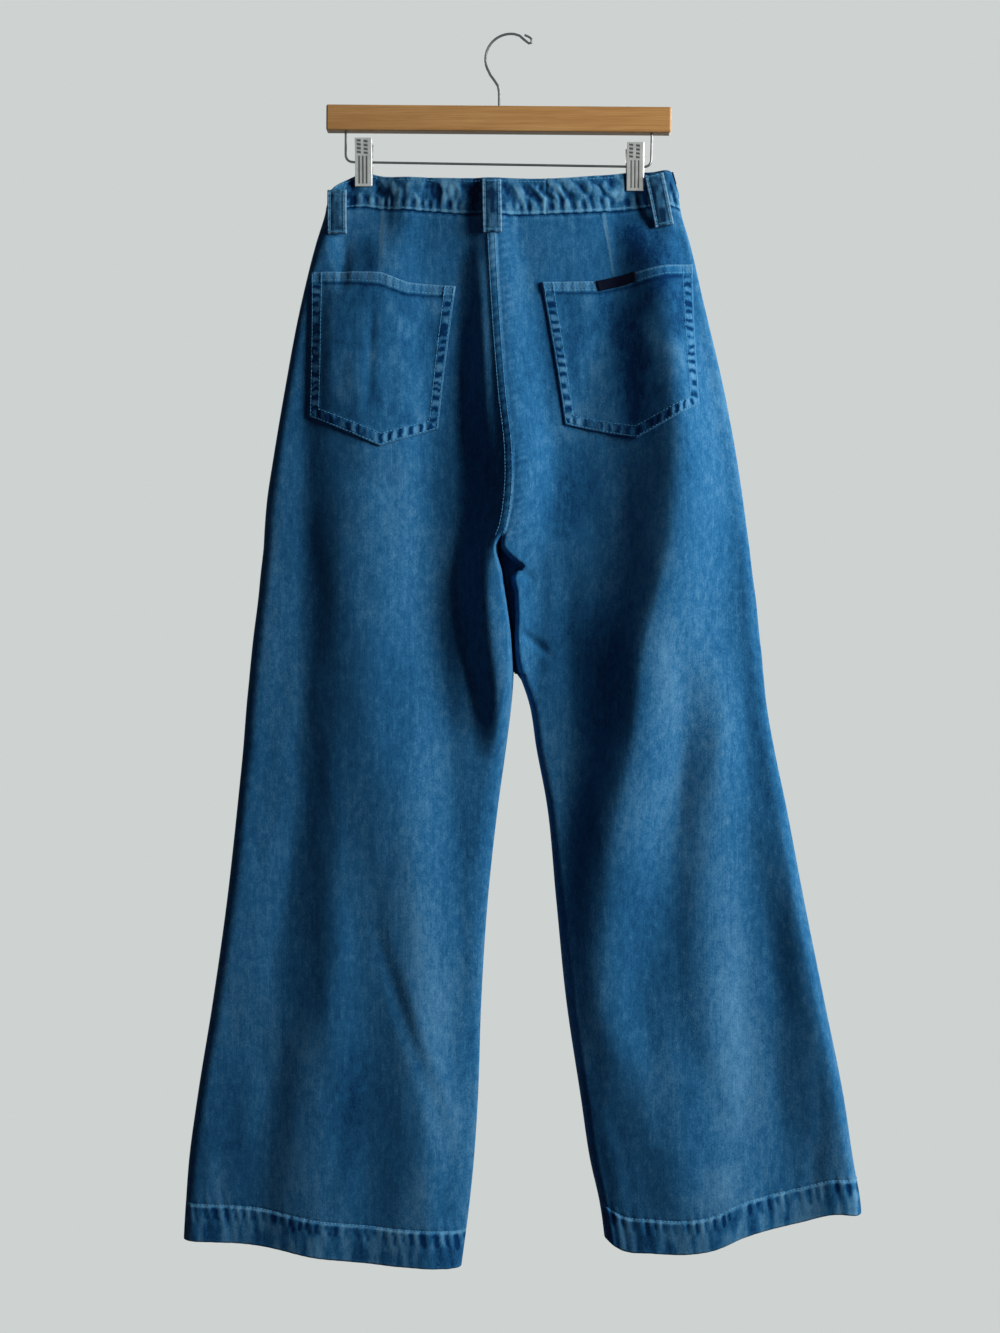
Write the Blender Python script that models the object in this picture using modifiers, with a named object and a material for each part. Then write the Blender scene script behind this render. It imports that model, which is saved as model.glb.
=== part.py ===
"""High-rise wide-leg denim jeans, back side to the viewer, pinched by two clips to a wooden trouser hanger.

Lengths are in millimetres until a mesh is made, and MM turns them into metres. The origin is the point
inside the top of the hook where the hanger rests on its nail. X runs to the wearer's right, which is the
viewer's right from behind, +Y runs towards the wall, and every "drop" is a distance below the origin.
The cloth is described by how far it stands from the garment's middle plane, y = 0: the back panels lie on
the -Y side of it and the front panels on the +Y side.
"""

import math

import bmesh
import bpy
import numpy as np
from mathutils import Vector

MM = 0.001

SEAM_GAP = 0.3
PATCH_GAP = 0.5
PANEL_WALL = 2.0
BAND_WALL = 2.6
POCKET_WALL = 1.6
LABEL_WALL = 0.8
LOOP_WALL = 1.8

CROTCH_DROP = 513.0
CROTCH_CLOSES_OVER = 44.0
INNER_RADIUS = {"left": 15.0, "right": 9.0}
CREST_ROUND = 0.1

BACK_GRID = {"columns": 18, "hip_rows": 13, "leg_rows": 22}
FRONT_GRID = {"columns": 12, "hip_rows": 10, "leg_rows": 16}
BAND_BACK_STEPS = 52
BAND_FRONT_STEPS = 24
TOWARDS = {"back": -1.0, "front": 1.0}


def table(names, *rows):
    """A table with named columns. The first column is the place that the others are read at."""
    return dict(zip(names.split(), np.array(rows, float).T))


def mix(first, second, share):
    return first + (second - first) * share


def smooth_step(share):
    share = np.clip(share, 0.0, 1.0)
    return share * share * (3.0 - 2.0 * share)


def along(rows, name, place):
    """Reads a column at any place, on a smooth curve through the table's rows."""
    places, values = next(iter(rows.values())), rows[name]
    slopes = np.gradient(values, places)
    place = np.clip(place, places[0], places[-1])
    row = np.clip(np.searchsorted(places, place, side="right") - 1, 0, len(places) - 2)
    span = places[row + 1] - places[row]
    share = (place - places[row]) / span
    start = (1.0 + 2.0 * share) * (1.0 - share) ** 2
    rise = share * (1.0 - share) ** 2 * span
    fall = share**2 * (share - 1.0) * span
    return (
        start * values[row]
        + (1.0 - start) * values[row + 1]
        + rise * slopes[row]
        + fall * slopes[row + 1]
    )


# The garment's outline on the middle plane. Above the crotch both inner columns are the centre seam.
OUTLINE = table(
    "drop left_side left_inner right_inner right_side",
    (137, -176, -20, -20, 161),
    (158, -182, -19, -19, 167),
    (178, -185.6, -18, -18, 170),
    (209, -195, -16.5, -16.5, 179),
    (265, -209, -13.5, -13.5, 192),
    (365, -228, -6, -6, 215),
    (425, -238, 0, 0, 226),
    (465, -244, -1, -1, 232),
    (495, -246.5, -6, -6, 236),
    (513, -247.5, -12.5, -12.5, 238.5),
    (537, -250.2, -8.6, -8.4, 241.2),
    (565, -253, -4.1, -3.8, 245),
    (605, -258, 1.2, 1.5, 249),
    (622, -259.8, 2.4, 3.1, 251),
    (634, -261, 2.9, 5.2, 252),
    (645, -262, 2.6, 10, 253),
    (665, -264, 1.1, 17, 255),
    (715, -268, -5, 25.5, 263.5),
    (765, -273, -12, 35, 274),
    (865, -284, -23, 45, 293),
    (965, -298, -29.5, 55, 313),
    (1065, -314, -33, 70, 333),
    (1125, -322, -37, 79, 342),
    (1165, -325, -41, 88, 349),
    (1235, -329, -50, 97, 350),
)

# The waistband's upper edge and its seam to the panels, drooping past the left clip.
WAIST = table(
    "x top seam",
    (-182, 158, 178),
    (-168, 148, 175),
    (-147, 139.5, 173.5),
    (-126, 143, 176.5),
    (-81, 145.5, 180),
    (-21, 147, 184.5),
    (49, 146, 182),
    (99, 141, 178.5),
    (124, 138, 176),
    (139, 138, 174),
    (161, 137.5, 174),
    (170, 140, 177),
)

HEM = {
    "left": table(
        "x drop",
        (-328, 1202),
        (-249, 1206.5),
        (-186, 1217),
        (-126, 1223),
        (-71, 1227),
        (-49, 1230),
    ),
    "right": table(
        "x drop",
        (95, 1201),
        (107, 1208),
        (139, 1211),
        (169, 1212),
        (199, 1208),
        (229, 1197.5),
        (259, 1191),
        (289, 1184),
        (320, 1174.5),
        (349, 1175.6),
    ),
}

# Half of the garment's thickness before its folds, and the radius of its outer edges.
BODY = {
    "back": table(
        "drop depth radius",
        (137, 7.5, 8),
        (178, 8, 8),
        (265, 9, 9),
        (365, 10, 11),
        (513, 11, 13),
        (800, 11, 14),
        (1235, 10, 12),
    ),
    "front": table(
        "drop depth radius",
        (137, 7.5, 8),
        (178, 8, 8),
        (265, 11, 11),
        (513, 15, 15),
        (800, 15, 16),
        (1235, 13, 14),
    ),
}

# Each fold is a ridge in the cloth: where its crest runs, how far each flank reaches, and its height.
FOLD = "drop x left_run right_run height sharp"
FOLDS = {
    "back": {
        "left_thigh": table(
            FOLD,
            (150, -118, 40, 40, 3, 0),
            (195, -120, 50, 40, 6, 0),
            (265, -124, 50, 45, 9, 0),
            (415, -124, 55, 52, 12, 0),
            (555, -124, 60, 56, 13, 0),
            (705, -114, 62, 60, 15, 0),
            (805, -104, 62, 58, 17, 0),
            (965, -98, 62, 56, 17, 0),
            (1105, -88, 80, 52, 17, 0),
            (1235, -88, 80, 46, 12, 0),
        ),
        "left_shoulder": table(
            FOLD,
            (225, -158, 36, 40, 0, 0),
            (265, -165, 38, 50, 6, 0),
            (415, -168, 42, 55, 10, 0),
            (555, -168, 46, 58, 12, 0),
            (705, -165, 50, 60, 13, 0),
            (805, -162, 56, 62, 13, 0),
            (965, -172, 68, 72, 13, 0),
            (1105, -186, 80, 90, 13, 0),
            (1235, -190, 80, 90, 9, 0),
        ),
        "seat_seam": table(
            FOLD,
            (150, -20, 30, 30, 3, 0),
            (195, -18, 35, 30, 7, 0),
            (265, -14, 46, 40, 13, 0),
            (365, -6, 54, 45, 20, 0),
            (435, -1, 54, 50, 25, 0),
            (490, -5, 48, 52, 26, 0),
            (530, -8, 38, 50, 25, 0),
            (600, -7, 30, 44, 22, 0),
            (660, -5, 26, 34, 15, 0),
            (725, -8, 22, 20, 0, 0),
        ),
        "right_thigh": table(
            FOLD,
            (150, 112, 30, 25, 3, 0),
            (195, 135, 45, 28, 9, 0),
            (265, 151, 54, 38, 18, 0),
            (345, 158, 86, 48, 30, 0.6),
            (415, 161, 122, 58, 39, 0.9),
            (505, 155, 115, 75, 42, 0.9),
            (555, 145, 98, 86, 41, 0.8),
            (605, 132, 82, 98, 38, 0.6),
            (705, 121, 68, 80, 31, 0.3),
            (805, 103, 60, 75, 25, 0),
            (905, 93, 52, 75, 18, 0),
            (965, 94, 48, 80, 15, 0),
            (1055, 127, 72, 80, 14, 0),
            (1155, 152, 85, 80, 13, 0),
            (1235, 152, 85, 80, 9, 0),
        ),
        "right_shin": table(
            FOLD,
            (585, 200, 40, 35, 0, 0),
            (705, 202, 40, 34, 14, 0),
            (805, 192, 56, 50, 12, 0),
            (905, 188, 70, 56, 12, 0),
            (1005, 192, 80, 54, 13, 0),
            (1105, 200, 80, 54, 11, 0),
            (1235, 215, 60, 50, 6, 0),
        ),
        "right_edge": table(
            FOLD,
            (760, 262, 30, 20, 0, 0),
            (865, 281, 36, 24, 7, 0),
            (965, 301, 42, 28, 9, 0),
            (1065, 320, 56, 30, 10, 0),
            (1165, 335, 60, 30, 8, 0),
            (1235, 338, 60, 30, 6, 0),
        ),
        "seat": table(
            FOLD,
            (230, 20, 70, 90, 0, 0),
            (415, 30, 70, 100, 8, 0),
            (505, 40, 60, 80, 8, 0),
            (600, 50, 50, 60, 5, 0),
            (700, 60, 50, 50, 0, 0),
        ),
        "waist": table(
            FOLD,
            (137, -12, 130, 125, 5, 0),
            (190, -12, 130, 125, 5, 0),
            (300, -12, 130, 125, 0, 0),
        ),
        "left_end": table(
            FOLD,
            (140, -176, 11, 14, 5, 0),
            (200, -180, 12, 14, 4, 0),
            (250, -188, 20, 20, 0, 0),
        ),
        "right_end": table(
            FOLD,
            (140, 150, 12, 12, 5, 0),
            (200, 158, 16, 12, 4, 0),
            (250, 166, 20, 20, 0, 0),
        ),
    },
    "front": {
        "left_crease": table(
            FOLD,
            (150, -90, 60, 60, 0, 0),
            (400, -105, 80, 70, 5, 0),
            (800, -135, 80, 80, 7, 0),
            (1235, -170, 80, 80, 5, 0),
        ),
        "right_crease": table(
            FOLD,
            (150, 70, 60, 60, 0, 0),
            (400, 95, 70, 80, 5, 0),
            (800, 150, 80, 80, 7, 0),
            (1235, 210, 80, 80, 5, 0),
        ),
        "waist": table(
            FOLD,
            (137, -12, 130, 125, 6, 0),
            (190, -12, 130, 125, 6, 0),
            (300, -12, 130, 125, 0, 0),
        ),
    },
}

# The two clips squeeze front and back together at the waist, and the cloth recovers below them.
CLIP_X = {"left": -146.9, "right": 123.8}
PINCHED_DEPTH = 3.5
PINCH_HALF_WIDTH = 13.0
PINCH_FADE = 14.0
PINCH_FULL_TO = 160.0
PINCH_GONE_AT = 235.0

# Pocket corners on the cloth: x and drop, along the top hem from its left end, then round the bottom.
POCKETS = {
    "left": table(
        "x drop",
        (-199, 240),
        (-165, 240),
        (-129, 242),
        (-104, 251),
        (-55, 254),
        (-72.5, 396),
        (-129.5, 415),
        (-200.5, 384),
    ),
    "right": table(
        "x drop",
        (30, 250.5),
        (83, 249),
        (122, 242),
        (152, 236),
        (180.5, 231.5),
        (184.5, 375),
        (122.5, 408.5),
        (53.5, 392.5),
    ),
}
LABEL = table("x drop", (84, 249.4), (122, 241.2), (123.2, 251.8), (87, 259.2))

FLY_WIDTH = 38.0
FLY_LENGTH = 150.0
FLY_OVERLAP = 20.0
FLY_TOP_CLEARANCE = 0.8

# Belt loops: the middle of the upper end, the middle of the lower end, and the face they are sewn to.
LOOP_WIDTH = 19.0
LOOP_LIFT = 3.0
LOOP_SEAT = 0.6
LOOP_ROWS = 8
LOOPS = table(
    "number upper_x upper_drop lower_x lower_drop face",
    (1, -173.0, 157.5, -172.5, 202.5, -1),
    (2, -19.5, 149.5, -18.5, 203.5, -1),
    (3, 141.8, 142.0, 152.0, 194.5, -1),
    (4, 62.0, 147.0, 64.0, 201.0, 1),
    (5, -98.0, 146.5, -100.0, 200.0, 1),
)
LOOP_NAMES = {
    1: "belt_loop_back_left",
    2: "belt_loop_back_centre",
    3: "belt_loop_back_right",
    4: "belt_loop_front_right",
    5: "belt_loop_front_left",
}

BUTTON_RADIUS = 8.5
BUTTON_BELOW_TOP = 17.0
BUTTON_STEPS = 20

BAR_CENTRE = (-12.3, 85.0)
BAR_LENGTH = 344.0
BAR_HEIGHT = 25.6
BAR_THICKNESS = 12.0
BAR_TILT = math.radians(0.43)
BAR_EDGE = 1.6
HOLE_CLEARANCE = 0.35

HOOK_WIRE = 1.3
HOOK_RADIUS = 25.5
HOOK_CENTRE = (0.0, HOOK_RADIUS - HOOK_WIRE)
HOOK_STEM_X = -11.8
HOOK_DEPTH_IN_BAR = 14.0
HOOK_ARC = (200.0, 82.0)
HOOK_ARC_POINTS = 18
HOOK_BEND = ((-11.9, 57.0), (-13.0, 51.0), (-16.5, 45.5), (-20.6, 40.0))
HOOK_TIP = ((8.7, 0.6), (13.2, 4.6), (17.8, 8.2), (20.4, 7.6), (20.6, 4.8))

WIRE_RADIUS = 1.25
WIRE_CORNERS = ((-165.1, 89.0), (-165.4, 126.9), (140.2, 131.9), (141.1, 91.0))
WIRE_FILLET = 8.0
WIRE_FILLET_POINTS = 6

# A clip leaf in side view: height above the wire it pivots on, and its outer face's distance from y = 0.
LEAF_WIDTH = 17.0
LEAF_SHEET = 1.0
LEAF = table(
    "height stand_off",
    (-25.6, 5.0),
    (-18.0, 5.4),
    (-9.0, 6.0),
    (0.0, 6.4),
    (8.0, 7.0),
    (15.0, 8.6),
    (21.0, 10.4),
)
EAR_SHEET = 0.9
EAR_HALF_HEIGHT = 6.0
EAR_GAP = 1.7
SPRING_RADIUS = 5.0
SPRING_LENGTH = 14.0
SPRING_SIDES = 16


def fold_height(fold, x, drop):
    """A soft swell on both sides of the crest, or, where sharp says so, a left flank that steepens to it."""
    away = x - along(fold, "x", drop)
    left, right = along(fold, "left_run", drop), along(fold, "right_run", drop)
    share = np.clip(np.abs(away) / np.where(away < 0, left, right), 0.0, 1.0)
    soft = 0.5 * (1.0 + np.cos(math.pi * share))
    rounded = np.hypot(share, CREST_ROUND) - CREST_ROUND
    steep = np.clip(1.0 - rounded / (math.hypot(1.0, CREST_ROUND) - CREST_ROUND), 0.0, 1.0) ** 2
    sharp = np.where(away < 0, along(fold, "sharp", drop), 0.0)
    return along(fold, "height", drop) * mix(soft, steep, sharp)


def edge_round(share):
    """A quarter circle: 0 on the edge itself, 1 from one radius inwards."""
    return np.sqrt(1.0 - (1.0 - np.clip(share, 0.0, 1.0)) ** 2)


def pinch(x, drop):
    """1 under a clip, 0 away from both."""
    low = 1.0 - smooth_step((drop - PINCH_FULL_TO) / (PINCH_GONE_AT - PINCH_FULL_TO))
    near = np.zeros_like(x + drop)
    for clip_x in CLIP_X.values():
        away = (np.abs(x - clip_x) - PINCH_HALF_WIDTH) / PINCH_FADE
        near = np.maximum(near, 1.0 - smooth_step(away))
    return near * low


def crotch_share(drop):
    """0 where the hips are one tube, 1 where the legs are two."""
    return smooth_step((drop - CROTCH_DROP + CROTCH_CLOSES_OVER) / CROTCH_CLOSES_OVER)


def cloth_depth(face, x, drop):
    """How far the cloth's outer face stands from the middle plane."""
    depth = along(BODY[face], "depth", drop)
    for fold in FOLDS[face].values():
        depth = depth + fold_height(fold, x, drop)
    depth = mix(depth, PINCHED_DEPTH, pinch(x, drop))
    left, right = along(OUTLINE, "left_side", drop), along(OUTLINE, "right_side", drop)
    depth = depth * edge_round(
        np.minimum(x - left, right - x) / along(BODY[face], "radius", drop)
    )
    left, right = (
        along(OUTLINE, "left_inner", drop),
        along(OUTLINE, "right_inner", drop),
    )
    on_left = x < 0.5 * (left + right)
    inside = np.where(on_left, left - x, x - right) - 0.5 * SEAM_GAP
    radius = np.where(on_left, INNER_RADIUS["left"], INNER_RADIUS["right"])
    depth = depth * mix(1.0, edge_round(inside / radius), crotch_share(drop))
    return depth


def cloth_points(face, x, drop, gap=SEAM_GAP):
    depth = cloth_depth(face, x, drop) + 0.5 * gap
    return np.stack(np.broadcast_arrays(x, TOWARDS[face] * depth, -drop), axis=-1)


def panel_points(leg, face, columns, hip_rows, leg_rows):
    """The outer face of one panel: rows run from waist to hem, columns from side seam to inner edge."""
    hip = np.linspace(0.0, 1.0, hip_rows + 1)
    down = np.concatenate([hip, 1.0 + np.linspace(0.0, 1.0, leg_rows + 1)[1:]])[:, None]
    hip, below = np.clip(down, 0.0, 1.0), np.clip(down - 1.0, 0.0, 1.0)
    sign = -1.0 if leg == "left" else 1.0
    seam, hem = WAIST["seam"] + 0.5 * SEAM_GAP, HEM[leg]["drop"]
    outer_end, inner_end = (0, -1) if leg == "left" else (-1, 0)
    middle_seam = along(WAIST, "seam", OUTLINE["left_inner"][2]) + 0.5 * SEAM_GAP
    side_drop = mix(
        mix(seam[outer_end], CROTCH_DROP - 3.0, hip), hem[outer_end], below
    )
    inner_drop = mix(mix(middle_seam, CROTCH_DROP, hip), hem[inner_end], below)
    side_x = along(OUTLINE, leg + "_side", side_drop)
    inner_x = along(OUTLINE, leg + "_inner", inner_drop) + sign * 0.5 * SEAM_GAP
    step = np.linspace(0.0, 1.0, columns + 1)[None, :]
    hip_spacing = 1.0 - np.cos(0.5 * math.pi * step)
    leg_spacing = 0.5 * (1.0 - np.cos(math.pi * step))
    across = mix(hip_spacing, leg_spacing, smooth_step(mix(hip, 1.0, below) * 3 - 2))
    x = mix(side_x, inner_x, across)
    drop = mix(side_drop, inner_drop, across)
    waist = along(WAIST, "seam", x[:1]) + 0.5 * SEAM_GAP
    bottom = along(HEM[leg], "drop", x[-1:])
    drop = drop + (waist - drop[:1]) * (1.0 - hip) ** 2
    drop = drop + (bottom - drop[-1:]) * below**3
    return cloth_points(face, x, drop), down[:, 0]


def inward_normals(points, face):
    across = np.gradient(points, axis=1)
    down = np.gradient(points, axis=0)
    normals = np.cross(across, down)
    normals /= np.linalg.norm(normals, axis=-1, keepdims=True)
    return normals if normals[..., 1].mean() * TOWARDS[face] < 0 else -normals


def unit(vectors):
    return vectors / np.linalg.norm(vectors, axis=-1, keepdims=True)


def panel_walls(leg, face, grid):
    """Outer and inner face of a panel, each seam edge squared off against its neighbour."""
    outer, down = panel_points(leg, face, **grid)
    inward = inward_normals(outer, face)
    inward[:, 0, 1] = 0.0
    inward[down < 1.0, -1, 0] = 0.0
    inward[down >= 1.0, -1, 1] = 0.0
    inward[[0, -1], :, 2] = 0.0
    inner = outer + unit(inward) * PANEL_WALL
    side = TOWARDS[face]
    inner[..., 1] = side * np.maximum(side * inner[..., 1], 0.5 * SEAM_GAP)
    seam = along(OUTLINE, leg + "_inner", -inner[..., 2])
    hip = (down < 1.0)[:, None]
    sign = -1.0 if leg == "left" else 1.0
    held = sign * np.maximum(sign * (inner[..., 0] - seam), 0.5 * SEAM_GAP) + seam
    inner[..., 0] = np.where(hip, held, inner[..., 0])
    return outer, inner


def new_material(name, color, roughness, metallic=0.0):
    material = bpy.data.materials.new(name)
    material.use_nodes = True
    shader = material.node_tree.nodes["Principled BSDF"]
    shader.inputs["Base Color"].default_value = (*color, 1.0)
    shader.inputs["Roughness"].default_value = roughness
    shader.inputs["Metallic"].default_value = metallic
    return material


def finish_object(name, mesh, material, smooth_angle=35.0):
    obj = bpy.data.objects.new(name, mesh)
    mesh.materials.append(material)
    mesh.shade_smooth()
    mesh.set_sharp_from_angle(angle=math.radians(smooth_angle))
    parts.objects.link(obj)
    return obj


def mesh_from(name, bm):
    bmesh.ops.recalc_face_normals(bm, faces=bm.faces)
    mesh = bpy.data.meshes.new(name)
    bm.to_mesh(mesh)
    bm.free()
    return mesh


def wall_mesh(name, outer, inner):
    """Closes two matching grids of points into one wall, in triangles that are alike on every layer."""
    bm = bmesh.new()
    rows, columns = outer.shape[:2]
    layers = [
        [[bm.verts.new(Vector(p) * MM) for p in row] for row in grid]
        for grid in (outer, inner)
    ]
    for layer in layers:
        for i in range(rows - 1):
            for j in range(columns - 1):
                near, far = layer[i][j], layer[i + 1][j + 1]
                bm.faces.new((near, layer[i][j + 1], far))
                bm.faces.new((near, far, layer[i + 1][j]))
    rim = [(i, 0) for i in range(rows)]
    rim += [(rows - 1, j) for j in range(1, columns)]
    rim += [(i, columns - 1) for i in range(rows - 2, -1, -1)]
    rim += [(0, j) for j in range(columns - 2, 0, -1)]
    for (i, j), (k, m) in zip(rim, rim[1:] + rim[:1]):
        bm.faces.new((layers[0][i][j], layers[0][k][m], layers[1][k][m], layers[1][i][j]))
    return mesh_from(name, bm)


def prism(name, outline, near, far):
    """A cutter: an outline in x and drop, pushed along y."""
    bm = bmesh.new()
    face = bm.faces.new(
        [bm.verts.new(Vector((x, near, -drop)) * MM) for x, drop in outline]
    )
    pushed = bmesh.ops.extrude_face_region(bm, geom=[face])
    verts = [item for item in pushed["geom"] if isinstance(item, bmesh.types.BMVert)]
    bmesh.ops.translate(bm, verts=verts, vec=Vector((0, (far - near) * MM, 0)))
    obj = bpy.data.objects.new(name, mesh_from(name, bm))
    obj.hide_render = True
    obj.display_type = "WIRE"
    cutters.objects.link(obj)
    return obj


def boolean(obj, cutter, operation):
    modifier = obj.modifiers.new(cutter.name, "BOOLEAN")
    modifier.operation = operation
    modifier.object = cutter


def applied_patch(name, leg, face, grid, outline, beneath, thickness, material):
    """A piece sewn on a panel: the panel's own points moved out, cut to the piece's outline."""
    outer, _ = panel_points(leg, face, **grid)
    outward = -inward_normals(outer, face)
    lower = outer + outward * beneath
    lower[..., 1] += TOWARDS[face] * PATCH_GAP * (2.0 if beneath else 1.0)
    upper = lower + outward * thickness
    reach = np.array(outline)
    margin = 45.0
    rows = [
        i
        for i in range(len(outer))
        if np.any(-outer[i, :, 2] > reach[:, 1].min() - margin)
        and np.any(-outer[i, :, 2] < reach[:, 1].max() + margin)
    ]
    rows = slice(rows[0], rows[-1] + 1)
    obj = finish_object(name, wall_mesh(name, upper[rows], lower[rows]), material)
    side = TOWARDS[face]
    cutter = prism(name + "_outline", outline, side * 0.2, side * 90.0)
    boolean(obj, cutter, "INTERSECT")
    return obj


def make_panels(denim):
    for leg in ("left", "right"):
        for face, grid in (("back", BACK_GRID), ("front", FRONT_GRID)):
            name = f"{face}_panel_{leg}"
            finish_object(name, wall_mesh(name, *panel_walls(leg, face, grid)), denim)


def band_path(height):
    """The waistband's outer face at one height share, from its under end round to its upper end."""
    front = along(OUTLINE, "left_inner", WAIST["top"][5])
    stretch = np.linspace(0.0, 1.0, BAND_FRONT_STEPS + 1)
    quarter = mix(stretch, np.sin(0.5 * math.pi * stretch), 0.6)
    stretch = np.linspace(0.0, 1.0, BAND_BACK_STEPS + 1)
    half = mix(stretch, 0.5 * (1.0 - np.cos(math.pi * stretch)), 0.75)
    ends = []
    for end in (0, -1):
        drop = mix(WAIST["top"][end], WAIST["seam"][end], height)
        ends.append(along(OUTLINE, ("left_side", "right_side")[end], drop))
    left, right = ends
    under = mix(front - FLY_OVERLAP, right, quarter)
    back = mix(right, left, half)
    over = mix(left, front + 0.6 * FLY_OVERLAP, 1.0 - quarter[::-1])
    lap = smooth_step((over - front + FLY_OVERLAP + 25.0) / 24.0)
    path = []
    for xs, face, lift in (
        (under[:-1], "front", 0.0),
        (back, "back", 0.0),
        (over[1:], "front", lap[1:] * (BAND_WALL + SEAM_GAP)),
    ):
        drop = mix(along(WAIST, "top", xs), along(WAIST, "seam", xs), height)
        points = cloth_points(face, xs, drop, gap=0.0)
        points[:, 1] += TOWARDS[face] * lift
        path.append(points)
    return np.concatenate(path)


def make_waistband(denim):
    seam_share = 1.0 - 0.5 * SEAM_GAP / 37.0
    outer = np.stack([band_path(height) for height in (0.0, 0.5, seam_share)])
    inward = inward_normals(outer, "back")
    if inward[0, BAND_FRONT_STEPS + BAND_BACK_STEPS // 2, 1] < 0:
        inward = -inward
    inward[..., 2] = 0.0
    inner = outer + unit(inward) * BAND_WALL
    finish_object("waistband", wall_mesh("waistband", outer, inner), denim)


def pocket_outline(leg):
    return list(zip(POCKETS[leg]["x"], POCKETS[leg]["drop"]))


def make_pockets(denim, woven):
    for leg in ("left", "right"):
        applied_patch(
            f"back_pocket_{leg}",
            leg,
            "back",
            BACK_GRID,
            pocket_outline(leg),
            0.0,
            POCKET_WALL,
            denim,
        )
    applied_patch(
        "pocket_label",
        "right",
        "back",
        BACK_GRID,
        list(zip(LABEL["x"], LABEL["drop"])),
        POCKET_WALL,
        LABEL_WALL,
        woven,
    )


def make_fly(denim):
    """The overlap of the front opening: straight at the centre, rounded into the seam below."""
    top = float(along(WAIST, "seam", -18.0)) + FLY_TOP_CLEARANCE
    depth = np.linspace(0.0, 1.0, 9)
    centre = [
        (float(along(OUTLINE, "left_inner", top + FLY_LENGTH * t)) - 0.5, top + FLY_LENGTH * t)
        for t in depth
    ]
    curve = []
    for angle in np.linspace(0.0, 0.5 * math.pi, 6)[1:]:
        x = centre[-1][0] - FLY_WIDTH * math.sin(angle)
        curve.append((x, top + FLY_LENGTH - FLY_WIDTH * (1.0 - math.cos(angle))))
    corner_x = centre[0][0] - FLY_WIDTH
    outline = centre + curve + [(corner_x, top + 1.6)]
    applied_patch(
        "fly", "left", "front", FRONT_GRID, outline, 0.0, POCKET_WALL, denim
    )


def make_belt_loops(denim):
    half_width = np.array([-0.5, 0.0, 0.5]) * LOOP_WIDTH
    share = np.linspace(0.0, 1.0, LOOP_ROWS + 1)
    for row, number in enumerate(LOOPS["number"]):
        upper_x, lower_x = LOOPS["upper_x"][row], LOOPS["lower_x"][row]
        upper, lower = LOOPS["upper_drop"][row], LOOPS["lower_drop"][row]
        face = "back" if LOOPS["face"][row] < 0 else "front"
        lean = math.atan2(lower_x - upper_x, lower - upper)
        middle_x, middle = mix(upper_x, lower_x, share), mix(upper, lower, share)
        x = middle_x[:, None] + half_width * math.cos(lean)
        drop = middle[:, None] - half_width * math.sin(lean)
        probe = np.linspace(-0.6, 0.6, 9) * LOOP_WIDTH
        depth = cloth_depth(face, middle_x[:, None] + probe, middle[:, None] + 0 * probe)
        seat = depth.max(axis=1) + 0.5 * SEAM_GAP + LOOP_SEAT
        seat = seat + LOOP_LIFT * np.sin(math.pi * share) ** 0.8
        seat = np.broadcast_to(seat[:, None], x.shape)
        side = TOWARDS[face]
        outer = np.stack([x, side * (seat + LOOP_WALL), -drop], axis=-1)
        inner = np.stack([x, side * seat, -drop], axis=-1)
        name = LOOP_NAMES[int(number)]
        finish_object(name, wall_mesh(name, outer, inner), denim)


def make_button(metal):
    """A shank button on the lap of the waistband, turned about the axis it is riveted on."""
    x = float(along(OUTLINE, "left_inner", WAIST["top"][5])) - 4.0
    drop = float(along(WAIST, "top", x)) + BUTTON_BELOW_TOP
    seat = float(cloth_depth("front", np.array(x), np.array(drop)))
    seat += BAND_WALL + 2 * SEAM_GAP + 0.2
    profile = (
        (0.0, 4.4),
        (5.0, 4.1),
        (7.6, 3.5),
        (BUTTON_RADIUS, 2.5),
        (BUTTON_RADIUS - 0.4, 1.8),
        (3.0, 1.6),
        (2.6, 0.0),
        (0.0, 0.0),
    )
    mesh = bpy.data.meshes.new("waist_button")
    points = [(radius * MM, 0.0, height * MM) for radius, height in profile]
    mesh.from_pydata(points, [(i, i + 1) for i in range(len(points) - 1)], [])
    button = finish_object("waist_button", mesh, metal)
    screw = button.modifiers.new("turn", "SCREW")
    screw.steps = screw.render_steps = BUTTON_STEPS
    screw.use_merge_vertices = True
    screw.merge_threshold = 1e-5
    button.rotation_euler.x = -0.5 * math.pi
    button.location = Vector((x, seat, -drop)) * MM


def make_bar(wood):
    bm = bmesh.new()
    bmesh.ops.create_cube(bm, size=1.0)
    size = Vector((BAR_LENGTH, BAR_THICKNESS, BAR_HEIGHT)) * MM
    bmesh.ops.scale(bm, vec=size, verts=bm.verts)
    bar = finish_object("hanger_bar", mesh_from("hanger_bar", bm), wood)
    bar.location = Vector((BAR_CENTRE[0], 0.0, -BAR_CENTRE[1])) * MM
    bar.rotation_euler.y = BAR_TILT
    edges = bar.modifiers.new("edges", "BEVEL")
    edges.width = BAR_EDGE * MM
    edges.segments = 2
    top = BAR_CENTRE[1] - 0.5 * BAR_HEIGHT
    drill(bar, "hook_hole", HOOK_STEM_X, top + HOOK_DEPTH_IN_BAR + 0.5, 60.0, HOOK_WIRE)
    for name, (x, drop) in (("left_hole", WIRE_CORNERS[0]), ("right_hole", WIRE_CORNERS[-1])):
        drill(bar, name, x, drop - 0.5, 110.0, WIRE_RADIUS)


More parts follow.
